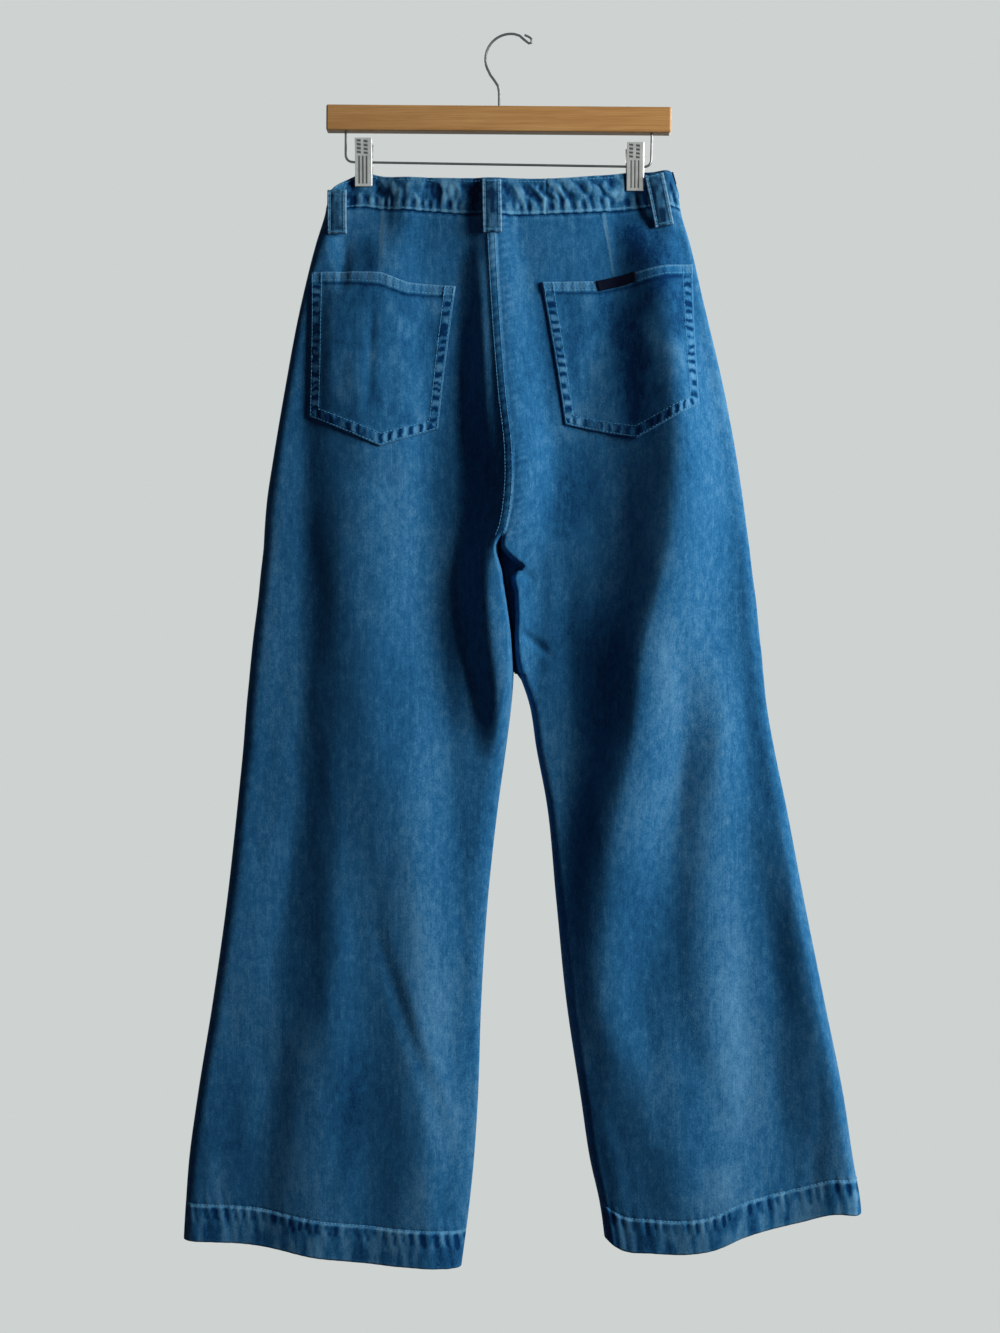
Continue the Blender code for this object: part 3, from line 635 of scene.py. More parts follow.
def pinch(x, drop):
    """1 under a clip, 0 away from both."""
    low = 1.0 - smooth_step((drop - PINCH_FULL_TO) / (PINCH_GONE_AT - PINCH_FULL_TO))
    near = np.zeros_like(x + drop)
    for clip_x in CLIP_X.values():
        away = (np.abs(x - clip_x) - PINCH_HALF_WIDTH) / PINCH_FADE
        near = np.maximum(near, 1.0 - smooth_step(away))
    return near * low


def crotch_share(drop):
    return smooth_step((drop - CROTCH_DROP + CROTCH_CLOSES_OVER) / CROTCH_CLOSES_OVER)


def edge_shares(face, x, drop):
    """How fully the cloth stands off at the garment's sides, and beside the gap between the legs."""
    left, right = along(OUTLINE, "left_side", drop), along(OUTLINE, "right_side", drop)
    outer = edge_round(np.minimum(x - left, right - x) / along(BODY[face], "radius", drop))
    left, right = along(OUTLINE, "left_inner", drop), along(OUTLINE, "right_inner", drop)
    on_left = x < 0.5 * (left + right)
    inside = np.where(on_left, left - x, x - right) - 0.5 * SEAM_GAP
    left_radius, right_radius = (along(INNER, side + "_radius", drop) for side in ("left", "right"))
    crevice = np.clip(along(INNER, "crevice", drop), 0.0, None) * (face == "back")
    beyond = edge_round((inside - crevice) / right_radius)
    beyond = np.maximum(beyond, CREVICE_DEPTH * edge_round(inside / 2.0))
    inner = np.where(on_left, edge_round(inside / left_radius), beyond)
    return outer * mix(1.0, inner, crotch_share(drop))


def cloth_form(face, x, drop):
    """How far the cloth's outer face stands from the middle plane, before its seams' relief."""
    depth = along(BODY[face], "depth", drop)
    for fold in FOLDS[face].values():
        depth = depth + fold_height(fold, x, drop)
    calm = smooth_step((drop - 190.0) / 60.0)
    creases = ridges(CREASES[face], x, drop, CREASE_TAPER)
    depth = depth + calm * (creases + undulation(face, x, drop))
    depth = mix(depth, PINCHED_DEPTH, pinch(x, drop))
    return depth * edge_shares(face, x, drop)


def seat_line(drop):
    """The right edge of the felled centre seam."""
    return along(OUTLINE, "left_inner", drop) + 2.0


def hem_relief(leg, face, x, drop):
    """The turned hem, roped along its fold, with its row's groove."""
    band = HEM_BAND[leg]
    above = along(HEM[leg], "drop", x) - drop
    seed = SEEDS[leg + "_hem"] + (0 if face == "back" else 3)
    wrinkle = puckers(x + 0.18 * above, HEM_PUCKERS, seed)
    inside = smooth_step((band + 0.4 - above) / 1.4)
    over = np.clip(above - band, 0.0, None)
    strength = inside * (np.exp(-np.clip(band - above, 0.0, None) / 12.0) + 0.22)
    strength = strength + (1.0 - inside) * 0.55 * np.exp(-over / 7.0)
    groove = -0.75 * bell(above - band, 1.3)
    roll = -0.9 * (1.0 - edge_round(above / 2.0))
    rise = 0.9 * inside + groove + roll + strength * wrinkle
    wear_and_painted_light = hem_wear(x, above, band, inside, seed) + inside * 0.2 * strength * wrinkle
    return rise, wear_and_painted_light + 0.3 * (1.0 - inside) * np.exp(-over / 6.0) * wrinkle


def hem_wear(x, above, band, inside, seed):
    """Blocks and patches of wear on the hem, and its pale row and lower edge."""
    under = np.clip(band - above, 0.0, None)
    blocks = ladder(x + 0.18 * above, HEM_PUCKERS, seed)
    reach = 10.0 + 7.0 * noise(x / 9.0 + 40, 6.5, seed)
    window = inside * smooth_step((under - 1.5) / 1.5) * (1.0 - smooth_step((under - reach) / 5.0))
    wear_and_painted_light = window * np.where(blocks < 0, 0.95, 0.3) * blocks
    patch = noise(x / 5.5 + 12, under / 30.0, seed + 5)
    patch = patch + 0.5 * noise(x / 17.0 + 40, under / 15.0, seed + 1)
    pale = 0.75 + 0.5 * noise(x / 3.2 + 90, 2.5, seed + 2)
    wear_and_painted_light = wear_and_painted_light + inside * 0.5 * np.tanh(2.6 * patch)
    return wear_and_painted_light + 0.95 * pale * bell(above - band + 1.0, 1.9) + 0.3 * bell(above - 1.0, 2.2)


def waist_relief(face, x, drop):
    """The cloth just under the waistband, gathered by its seam."""
    below = drop - along(WAIST, "seam", x)
    wrinkle = puckers(x, 11.0, SEEDS[face + "_waist"])
    near = np.exp(-np.clip(below, 0.0, None) / 9.0)
    rise = -0.8 * np.exp(-np.clip(below, 0.0, None) / 1.4) + 0.4 * near * wrinkle
    fringe = 0.5 + 0.5 * noise(x / 5.0, 1.5, SEEDS["waist_fringe"])
    wear_and_painted_light = 0.35 * near * wrinkle - 0.9 * bell(below, 0.8) + 0.75 * fringe * bell(below - 2.2, 1.1)
    return rise, wear_and_painted_light


def seat_seam_relief(face, x, drop):
    """The felled centre seam, down to the crotch. On the front it starts below the fly."""
    away = x - seat_line(drop)
    above = 1.0 - smooth_step((drop - CROTCH_DROP + 10.0) / 12.0)
    if face == "front":
        above = above * smooth_step((drop - 320.0) / 12.0)
    band = smooth_step(-away / 0.9) * smooth_step((away + SEAT_BAND) / 2.6)
    wrinkle = puckers(drop + 0.4 * away, 8.2, SEEDS["seat_seam"])
    blocks = ladder(drop + 0.5 * away, 9.0, SEEDS["seat_seam"] + 1)
    groove = -0.6 * bell(away + 1.6, 0.9) - 0.35 * bell(away + 8.4, 0.9)
    rise = above * (band * (1.3 + 0.42 * wrinkle) + groove)
    fill = mix(0.4, -0.32, smooth_step((drop - 215.0) / 70.0))
    wear_and_painted_light = above * (band * (fill + 0.34 * blocks) - 0.25 * bell(away - 1.6, 1.2))
    wear_and_painted_light = wear_and_painted_light + above * (0.95 * bell(away + 0.7, 1.1) + 0.3 * bell(away + SEAT_BAND - 1.0, 1.2))
    near = above * bell(away - 7.0, 7.0) * (away > 0)
    return rise + 0.3 * near * wrinkle, wear_and_painted_light + 0.3 * near * wrinkle


def side_relief(leg, x, drop):
    """Puckers along the side seam and, below the crotch, along the inseam."""
    outer = np.abs(x - along(OUTLINE, leg + "_side", drop))
    inner = np.abs(x - along(OUTLINE, leg + "_inner", drop))
    legs = crotch_share(drop)
    seed = SEEDS[leg + "_side"]
    outer_wrinkle = puckers(drop + 0.3 * outer, 15.0, seed)
    inner_wrinkle = puckers(drop + 0.3 * inner, 13.0, seed + 1)
    rise = 0.24 * bell(outer - 7.0, 8.0) * outer_wrinkle
    rise = rise + legs * 0.22 * bell(inner - 6.0, 8.0) * inner_wrinkle
    wear_and_painted_light = bell(outer, 4.5) * (0.3 + 0.12 * outer_wrinkle)
    wear_and_painted_light = wear_and_painted_light + 0.07 * bell(outer - 9.0, 7.0) * outer_wrinkle
    wear_and_painted_light = wear_and_painted_light + legs * bell(inner, 4.0) * (0.24 + 0.1 * inner_wrinkle)
    return rise, wear_and_painted_light


def dart_relief(face, x, drop):
    """A dart from the waist seam in each back panel, with its worn line."""
    rise, wear_and_painted_light = np.zeros_like(x + drop), np.zeros_like(x + drop)
    for line in DARTS if face == "back" else ():
        away, share = line_share(x, drop, line)
        (x0, d0), (x1, d1) = line
        beside = x - mix(x0, x1, (drop - d0) / (d1 - d0))
        taper = 1.0 - 0.6 * share
        ridge = 0.9 * bell(beside - 2.6, 2.6) - 0.45 * bell(beside + 1.0, 0.9)
        rise = rise + taper * ridge * bell(away, 5)
        pale = 1.7 * bell(beside, 1.5) + 0.3 * bell(beside - 3.5, 4.0)
        dark = 0.35 * bell(beside + 2.2, 1.1)
        wear_and_painted_light = wear_and_painted_light + taper * (pale - dark - 0.3 * bell(beside + 4.0, 3.0)) * bell(away, 5)
    return rise, wear_and_painted_light


def relief(leg, face, x, drop):
    """The seams' relief on a panel, and the wear that goes with it, with the long marks added, which on
    the back are mostly painted light and shade: pale above 0, dark below.
    """
    parts = (
        hem_relief(leg, face, x, drop),
        waist_relief(face, x, drop),
        seat_seam_relief(face, x, drop),
        side_relief(leg, x, drop),
        dart_relief(face, x, drop),
    )
    rise, wear_and_painted_light = sum(part[0] for part in parts), sum(part[1] for part in parts)
    # Adds the long marks: wear, and on the back mostly painted shade in fold valleys and painted light
    # on lit crests.
    wear_and_painted_light = wear_and_painted_light + fades_and_painted_light(face, x, drop)
    rise = rise * (0.25 + 0.75 * edge_shares(face, x, drop)) * (1.0 - 0.8 * pinch(x, drop))
    return np.maximum(rise, -1.5), wear_and_painted_light


def grid_points(x, y, z):
    return np.stack(np.broadcast_arrays(x, y, z), axis=-1)


def cloth_surface(leg, face, x, drop):
    """The outer face's points with all its relief, on any piece of a panel."""
    rise, wear_and_painted_light = relief(leg, face, x, drop)
    depth = cloth_form(face, x, drop) + 0.5 * SEAM_GAP + rise
    return grid_points(x, TOWARDS[face] * np.maximum(depth, 0.15), -drop), wear_and_painted_light


def rows_down(hip_rows, leg_rows, hem_rows):
    """Places down a panel: 0 to 1 from waist to crotch, 1 to 2 on to the hem, where rows are closest."""
    hip = np.linspace(0.0, 1.0, hip_rows + 1)
    leg = HEM_ROWS_FROM * np.linspace(0.0, 1.0, leg_rows + 1)[1:] ** 1.2
    hem = np.linspace(HEM_ROWS_FROM, 1.0, hem_rows + 1)[1:]
    return np.concatenate([hip, 1.0 + leg, 1.0 + hem])


def shares_across(columns, hip, below):
    """Shares across each row, closer together at the side seam, and below the crotch at the inseam."""
    step = np.linspace(0.0, 1.0, columns + 1)[None, :]
    at_hip = mix(1.0 - np.cos(0.5 * math.pi * step), step, 0.35)
    at_leg = mix(0.5 * (1.0 - np.cos(math.pi * step)), step, 0.35)
    return mix(at_hip, at_leg, smooth_step(mix(hip, 1.0, below) * 3 - 2))


def inner_edge(leg, drop, below):
    """x of a panel's inner edge. The right one closes the gap where the two legs touch."""
    x = along(OUTLINE, leg + "_inner", drop) + OUTWARD[leg] * 0.5 * SEAM_GAP
    apart = along(OUTLINE, "right_inner", drop) - along(OUTLINE, "left_inner", drop)
    touching = smooth_step((5.2 - apart) / 1.6) * (below > 0)
    x = x - touching * (leg == "right") * (apart + SEAM_GAP)
    return x - (below <= 0) * (leg == "right") * SEAM_GAP


def panel_grid(leg, columns, hip_rows, leg_rows, hem_rows):
    """x and drop over one panel: rows run from waist to hem, columns from side seam to inner edge."""
    down = rows_down(hip_rows, leg_rows, hem_rows)[:, None]
    hip, below = np.clip(down, 0.0, 1.0), np.clip(down - 1.0, 0.0, 1.0)
    seam, hem = WAIST["seam"] + 0.5 * SEAM_GAP, HEM[leg]["drop"]
    outer_end, inner_end = (0, -1) if leg == "left" else (-1, 0)
    middle_seam = along(WAIST, "seam", OUTLINE["left_inner"][2]) + 0.5 * SEAM_GAP
    side_drop = mix(mix(seam[outer_end], CROTCH_DROP - 3.0, hip), hem[outer_end], below)
    inner_drop = mix(mix(middle_seam, CROTCH_DROP, hip), hem[inner_end], below)
    across = shares_across(columns, hip, below)
    side_x = along(OUTLINE, leg + "_side", side_drop)
    x = mix(side_x, inner_edge(leg, inner_drop, below), across)
    drop = mix(side_drop, inner_drop, across)
    waist = along(WAIST, "seam", x[:1]) + 0.5 * SEAM_GAP
    bottom = along(HEM[leg], "drop", x[-1:])
    drop = drop + (waist - drop[:1]) * (1.0 - hip) ** 2
    drop = drop + (bottom - drop[-1:]) * below**3
    return x, drop, down[:, 0]


def unit(vectors):
    return vectors / np.linalg.norm(vectors, axis=-1, keepdims=True)


def inward_normals(points, face):
    normals = unit(np.cross(np.gradient(points, axis=1), np.gradient(points, axis=0)))
    return normals if normals[..., 1].mean() * TOWARDS[face] < 0 else -normals


def inner_wall(leg, face, x, drop, down):
    """The inside of a panel: it follows the form, not the relief, and is squared off at its seams."""
    depth = cloth_form(face, x, drop) + 0.5 * SEAM_GAP
    base = grid_points(x, TOWARDS[face] * depth, -drop)
    inward = inward_normals(base, face)
    inward[:, 0, 1] = 0.0
    inward[down < 1.0, -1, 0] = 0.0
    inward[down >= 1.0, -1, 1] = 0.0
    inward[[0, -1], :, 2] = 0.0
    side, sign = TOWARDS[face], OUTWARD[leg]
    inward[np.linalg.norm(inward, axis=-1) < 1e-6] = (sign, 0.0, 0.0)
    inner = base + unit(inward) * PANEL_WALL
    inner[..., 1] = side * np.maximum(side * inner[..., 1], 0.5 * SEAM_GAP)
    seam = along(OUTLINE, leg + "_inner", -inner[..., 2])
    held = sign * np.maximum(sign * (inner[..., 0] - seam), 0.5 * SEAM_GAP) + seam
    inner[..., 0] = np.where((down < 1.0)[:, None], held, inner[..., 0])
    return inner


def grid_faces(rows, columns, start=0, flip=False):
    corner = np.arange(rows * columns).reshape(rows, columns) + start
    around = [corner[:-1, :-1], corner[:-1, 1:], corner[1:, 1:], corner[1:, :-1]]
    quads = np.stack(around, axis=-1).reshape(-1, 4)
    return quads[:, ::-1] if flip else quads


def volume_sign(points, quads):
    """Above 0 where a closed mesh of quads faces outwards."""
    first, second, third, fourth = (points[quads[:, i]] for i in range(4))
    total = np.einsum("ij,ij->i", first, np.cross(second, third)).sum()
    return total + np.einsum("ij,ij->i", first, np.cross(third, fourth)).sum()


def link(name, mesh, material, kind):
    obj = bpy.data.objects.new(name, mesh)
    mesh.materials.append(material)
    mesh.shade_smooth()
    mesh.set_sharp_from_angle(angle=math.radians(SHARP_FROM[kind]))
    bpy.context.scene.collection.objects.link(obj)
    return obj


def point_values(mesh, name, values):
    values = np.asarray(values, np.float32).ravel()
    mesh.attributes.new(name, "FLOAT", "POINT").data.foreach_set("value", values)


def wall(name, outer, inner, material, kind, wear_and_painted_light=None):
    """Closes two matching grids of points into one wall."""
    rows, columns = outer.shape[:2]
    count = rows * columns
    points = np.concatenate([outer.reshape(-1, 3), inner.reshape(-1, 3)])
    corner = np.arange(count).reshape(rows, columns)
    rim = np.concatenate([corner[0, :-1], corner[:-1, -1], corner[-1, :0:-1], corner[:0:-1, 0]])
    following = np.roll(rim, -1)
    ring = np.stack([following, rim, rim + count, following + count], axis=-1)
    sides = [grid_faces(rows, columns), grid_faces(rows, columns, count, True), ring]
    faces = np.concatenate(sides)
    if volume_sign(points, faces) < 0:
        faces = faces[:, ::-1]
    mesh = bpy.data.meshes.new(name)
    mesh.from_pydata((points * MM).tolist(), [], faces.tolist())
    # The point attribute carries wear together with painted light and shade; the inside gets one plain
    # value.
    if wear_and_painted_light is not None:
        inside = np.full(count, INSIDE_WEAR)
        point_values(mesh, "wear_and_painted_light", np.concatenate([np.ravel(wear_and_painted_light), inside]))
    return link(name, mesh, material, kind)


def declare(obj, nodes):
    """Rides the piece on the only body, and hides the solids that it stands in for."""
    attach(obj, "root")
    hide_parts(*nodes)


def link_value(tree, socket, value):
    if isinstance(value, bpy.types.NodeSocket):
        tree.links.new(value, socket)
    else:
        socket.default_value = value


def set_inputs(tree, node, inputs):
    for name, value in inputs.items():
        link_value(tree, node.inputs[name], value)


def add(tree, kind, inputs=None, **settings):
    node = tree.nodes.new("ShaderNode" + kind)
    for name, value in settings.items():
        setattr(node, name, value)
    set_inputs(tree, node, inputs or {})
    return node


def calc(tree, operation, first, second=0.0, third=0.0):
    node = add(tree, "Math", {0: first, 1: second, 2: third}, operation=operation)
    return node.outputs[0]


def blend_colors(tree, share, first, second):
    node = tree.nodes.new("ShaderNodeMix")
    node.data_type = "RGBA"
    set_inputs(tree, node, {0: share, 6: first, 7: second})
    return node.outputs[2]


def ramp_color(tree, share, low, middle, high):
    """A colour by share, through three stops of a position and a colour."""
    ramp = add(tree, "ValToRGB", {"Fac": share})
    stops = ramp.color_ramp.elements
    for stop, (position, color) in ((stops[0], low), (stops[1], high)):
        stop.position = position
        stop.color = rgb(*color)
    position, color = middle
    stops.new(position).color = rgb(*color)
    return ramp.outputs[0]


def bump(tree, height, strength, distance):
    inputs = {"Height": height, "Strength": strength, "Distance": distance}
    return add(tree, "Bump", inputs).outputs[0]


def scaled_noise(tree, scale, detail=3.0, roughness=0.55, offset=(0, 0, 0)):
    """Noise in object space whose cells have these lengths in millimetres along x, y and z."""
    place = add(tree, "TexCoord").outputs["Object"]
    sizes = tuple(1000.0 / length for length in scale)
    mapped = add(tree, "Mapping", {"Vector": place, "Scale": sizes, "Location": offset})
    inputs = {"Vector": mapped.outputs[0], "Scale": 1.0, "Detail": detail, "Roughness": roughness}
    return add(tree, "TexNoise", inputs).outputs[0]


def new_material(name, color, roughness, metallic=0.0):
    material = bpy.data.materials.new(name)
    material.use_nodes = True
    shader = material.node_tree.nodes["Principled BSDF"]
    shader.inputs["Base Color"].default_value = (*color, 1.0)
    shader.inputs["Roughness"].default_value = roughness
    shader.inputs["Metallic"].default_value = metallic
    return material, material.node_tree, shader


def rgb(red, green, blue):
    return (red, green, blue, 1.0)


def twill(tree, period, direction):
    """The diagonal ribs of the weave, as a height."""
    place = add(tree, "TexCoord").outputs["Object"]
    turned = add(tree, "Mapping", {"Vector": place, "Rotation": (0, direction, 0)})
    inputs = {"Vector": turned.outputs[0], "Scale": 1000.0 / (20.0 * period) * math.pi}
    inputs.update({"Distortion": 1.2, "Detail": 1.0, "Detail Scale": 1.5})
    return add(tree, "TexWave", inputs, bands_direction="X").outputs["Fac"]


def denim(name, dark, middle, pale, grain="down"):
    """Stonewashed twill: streaked along the warp, paler where the point attribute says so; it holds
    wear, and painted light and shade.
    """
    material, tree, shader = new_material(name, middle, 0.9)
    slub = (1.1, 1.4, 26.0) if grain == "down" else (26.0, 9.0, 1.1)
    long_slub = (3.2, 3.2, 120.0) if grain == "down" else (120.0, 40.0, 3.2)
    streak = scaled_noise(tree, slub, 4.0, 0.62)
    long_streak = scaled_noise(tree, long_slub, 3.0, 0.6, (3, 1, 7))
    speck = scaled_noise(tree, (1.8, 1.8, 2.2), 3.0, 0.72, (9, 2, 4))
    mottle = scaled_noise(tree, (6.0, 6.0, 11.0), 4.0, 0.68, (5, 5, 1))
    cloud = scaled_noise(tree, (70.0, 70.0, 150.0), 2.0, 0.5, (2, 8, 3))
    wear_and_painted_light = add(tree, "Attribute", attribute_name="wear_and_painted_light").outputs["Fac"]
    share = calc(tree, "MULTIPLY_ADD", wear_and_painted_light, 0.46, 0.5)
    weights = ((streak, 0.26), (long_streak, 0.16), (speck, 0.6), (mottle, 0.66), (cloud, 0.5))
    for source, weight in weights:
        centred = calc(tree, "SUBTRACT", source, 0.5)
        share = calc(tree, "MULTIPLY_ADD", centred, weight, share)
    weave = twill(tree, 0.9, math.radians(-35.0))
    height = calc(tree, "MULTIPLY_ADD", weave, 0.5, calc(tree, "MULTIPLY", speck, 0.9))
    height = calc(tree, "MULTIPLY_ADD", streak, 0.7, height)
    look = {
        "Base Color": ramp_color(tree, share, (0.1, dark), (0.5, middle), (0.95, pale)),
        "Roughness": calc(tree, "MULTIPLY_ADD", speck, 0.16, 0.8),
        "Sheen Weight": 0.02,
        "Sheen Roughness": 0.5,
        "Specular IOR Level": 0.03,
        "Normal": bump(tree, height, 0.5, 0.00035),
    }
    set_inputs(tree, shader, look)
    return material


def thread_material():
    material, tree, shader = new_material("pale_thread", (0.26, 0.38, 0.55), 0.8)
    tone = scaled_noise(tree, (5.0, 5.0, 5.0), 3.0)
    color = blend_colors(tree, tone, rgb(0.02, 0.2, 0.42), rgb(0.15, 0.45, 0.7))
    set_inputs(tree, shader, {"Base Color": color, "Specular IOR Level": 0.1})
    return material


def label_material():
    material, tree, shader = new_material("woven_label", (0.008, 0.012, 0.035), 0.6)
    rib = scaled_noise(tree, (0.5, 0.5, 0.35), 2.0)
    color = blend_colors(tree, rib, rgb(0.001, 0.002, 0.008), rgb(0.005, 0.008, 0.026))
    look = {"Base Color": color, "Specular IOR Level": 0.03, "Normal": bump(tree, rib, 0.4, 0.0003)}
    set_inputs(tree, shader, look)
    return material


def wood_material():
    """Honey-coloured hardwood with its grain along the bar, under a satin lacquer."""
    honey = (0.5, 0.25, 0.08)
    material, tree, shader = new_material("honey_wood", honey, 0.42)
    warp = scaled_noise(tree, (90.0, 14.0, 14.0), 2.0, 0.5, (1, 4, 2))
    fine = scaled_noise(tree, (34.0, 0.9, 0.9), 4.0, 0.65)
    vein = scaled_noise(tree, (120.0, 3.4, 3.4), 3.0, 0.6, (6, 2, 9))
    pore = scaled_noise(tree, (7.0, 0.35, 0.35), 2.0, 0.5, (3, 3, 3))
    share = calc(tree, "MULTIPLY_ADD", fine, 0.45, calc(tree, "MULTIPLY", vein, 0.45))
    share = calc(tree, "MULTIPLY_ADD", warp, 0.3, share)
    stops = (0.32, (0.3, 0.125, 0.032)), (0.58, honey), (0.82, (0.66, 0.37, 0.135))
    look = {
        "Base Color": ramp_color(tree, share, *stops),
        "Roughness": calc(tree, "MULTIPLY_ADD", fine, 0.14, 0.34),
        "Coat Weight": 0.08,
        "Coat Roughness": 0.28,
        "Specular IOR Level": 0.2,
        "Normal": bump(tree, pore, 0.25, 0.0002),
    }
    set_inputs(tree, shader, look)
    return material


def metal_material(name, color, roughness, grain, shade_grooves=False):
    """Metal with fine scratches. When its grooves are shaded, the colour darkens where the point
    attribute is 0, as painted shade in the pressed grooves.
    """
    material, tree, shader = new_material(name, color, roughness, metallic=1.0)
    scratch = scaled_noise(tree, grain, 3.0, 0.6)
    cloud = scaled_noise(tree, (6.0, 6.0, 6.0), 2.0, 0.5, (4, 1, 2))
    dull, groove_shade_color = (rgb(*(share * value for value in color)) for share in (0.62, 0.13))
    tone = blend_colors(tree, cloud, dull, rgb(*color))
    if shade_grooves:
        # Painted shade: the colour darkens where the point attribute is 0, in the pressed grooves.
        unshaded_share = add(tree, "Attribute", attribute_name="unshaded_share").outputs["Fac"]
        tone = blend_colors(tree, unshaded_share, groove_shade_color, tone)
    look = {
        "Base Color": tone,
        "Roughness": calc(tree, "MULTIPLY_ADD", scratch, 0.22, roughness - 0.08),
        "Normal": bump(tree, scratch, 0.12, 0.0001),
    }
    set_inputs(tree, shader, look)
    return material


DENIM = denim("denim", (0.001, 0.033, 0.12), (0.02, 0.139, 0.316), (0.118, 0.31, 0.515))
TRIM = denim("denim_trim", (0.002, 0.026, 0.1), (0.02, 0.13, 0.29), (0.135, 0.345, 0.54), "across")
LOOP_DENIM = denim("denim_loops", (0.003, 0.026, 0.08), (0.032, 0.13, 0.25), (0.19, 0.37, 0.54))
THREAD_MATERIAL = thread_material()
WOVEN = label_material()
WOOD = wood_material()
STEEL = metal_material("bright_steel", (0.15, 0.155, 0.16), 0.3, (0.6, 0.6, 6.0))
PRESSED_STEEL = metal_material("pressed_steel", (0.6, 0.6, 0.58), 0.36, (0.6, 0.6, 6.0), True)
BRASS = metal_material("aged_brass", (0.42, 0.3, 0.16), 0.42, (1.0, 1.0, 1.0))


def make_panels():
    for leg in ("left", "right"):
        for face, grid in (("back", BACK_GRID), ("front", FRONT_GRID)):
            x, drop, down = panel_grid(leg, **grid)
            outer, wear_and_painted_light = cloth_surface(leg, face, x, drop)
            inner = inner_wall(leg, face, x, drop, down)
            obj = wall(f"{face}_cloth_{leg}", outer, inner, DENIM, "cloth", wear_and_painted_light)
            node = f"{face}_panel_{leg}"
            declare(obj, [node])


# Stitches: each is a small rounded run of thread along a line of points.
STITCH = 3.1
STITCH_GAP = 0.45
THREAD = 0.42
THREAD_LIFT = 0.1
THREAD_SIDES = 5
THREAD_RINGS = ((0.0, 0.45), (0.14, 0.9), (0.5, 1.0), (0.86, 0.9), (1.0, 0.45))


def measured(line):
    return np.concatenate([[0.0], np.cumsum(np.linalg.norm(np.diff(line, axis=0), axis=1))])


def points_on(line, way, place):
    """Points on a line at these lengths of the way along it."""
    return np.stack([np.interp(place, way, line[:, axis]) for axis in range(3)], axis=-1)


def stitch_run(line, outward, length, gap, seed):
    """Points and faces of a row of stitches that follow a line in space."""
    rng = np.random.default_rng(seed)
    way = measured(line)
    count = max(1, int(way[-1] / (length + gap)))
    pitch = way[-1] / count
    starts = pitch * np.arange(count) + rng.uniform(-0.12, 0.12, count)
    lengths = (pitch - gap) * rng.uniform(0.92, 1.06, count)
    shares, widths = np.array(THREAD_RINGS).T
    place = starts[:, None] + lengths[:, None] * shares
    tangent = unit(points_on(line, way, place + 0.4) - points_on(line, way, place - 0.4) + 1e-9)
    across = unit(np.cross(tangent, unit(np.asarray(outward, float))))
    up = np.cross(across, tangent)
    bow = THREAD_LIFT + THREAD * (np.sin(math.pi * shares) * 0.9 - 0.35)
    centre = points_on(line, way, place) + up * bow[None, :, None]
    sides = (np.arange(THREAD_SIDES) * 2.0 * math.pi / THREAD_SIDES)[None, None, :, None]
    turn = np.cos(sides) * across[:, :, None] + np.sin(sides) * up[:, :, None]
    points = centre[:, :, None] + turn * (widths * THREAD)[None, :, None, None]
    return points.reshape(-1, 3), stitch_faces(count)


def stitch_faces(count):
    """The sides of each stitch, then its two ends."""
    rings = len(THREAD_RINGS)
    size = rings * THREAD_SIDES
    one = np.arange(size).reshape(rings, THREAD_SIDES)
    following = np.roll(one, -1, axis=1)
    quads = np.stack([one[:-1], following[:-1], following[1:], one[1:]], axis=-1).reshape(-1, 4)
    faces = (quads[None] + size * np.arange(count)[:, None, None]).reshape(-1, 4).tolist()
    for first in range(0, count * size, size):
        faces.append(list(range(first + THREAD_SIDES - 1, first - 1, -1)))
        faces.append(list(range(first + size - THREAD_SIDES, first + size)))
    return faces


def stitching(name, rows, length=STITCH, gap=STITCH_GAP):
    """One object of thread for many rows. A row is a line of points and the way that the cloth faces."""
    all_points, all_faces, start = [], [], 0
    for number, (line, outward) in enumerate(rows):
        points, faces = stitch_run(line, outward, length, gap, SEEDS["thread"] + number)
        all_points.append(points)
        all_faces += [[corner + start for corner in face] for face in faces]
        start += len(points)
    mesh = bpy.data.meshes.new(name)
    mesh.from_pydata((np.concatenate(all_points) * MM).tolist(), [], all_faces)
    obj = link(name, mesh, THREAD_MATERIAL, "thread")
    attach(obj, "root")


def facing(face):
    return (0.0, TOWARDS[face], 0.0)


def panel_row(leg, face, x, drop):
    points, _ = cloth_surface(leg, face, np.asarray(x, float), np.asarray(drop, float))
    return points, facing(face)


def make_panel_stitching():
    rows = []
    for leg in ("left", "right"):
        hem = HEM[leg]
        for face in ("back", "front"):
            x = np.linspace(hem["x"][0] + HEM_ROW_ENDS, hem["x"][-1] - HEM_ROW_ENDS, 500)
            rows.append(panel_row(leg, face, x, along(hem, "drop", x) - HEM_BAND[leg]))
    for face, count in (("back", 500), ("front", 300)):
        drop = np.linspace(SEAT_ROWS_FROM[face], SEAT_ROWS_TO, count)
        for inset in SEAT_ROWS[face]:
            rows.append(panel_row("left", face, seat_line(drop) - inset, drop))
    stitching("panel_stitching", rows)


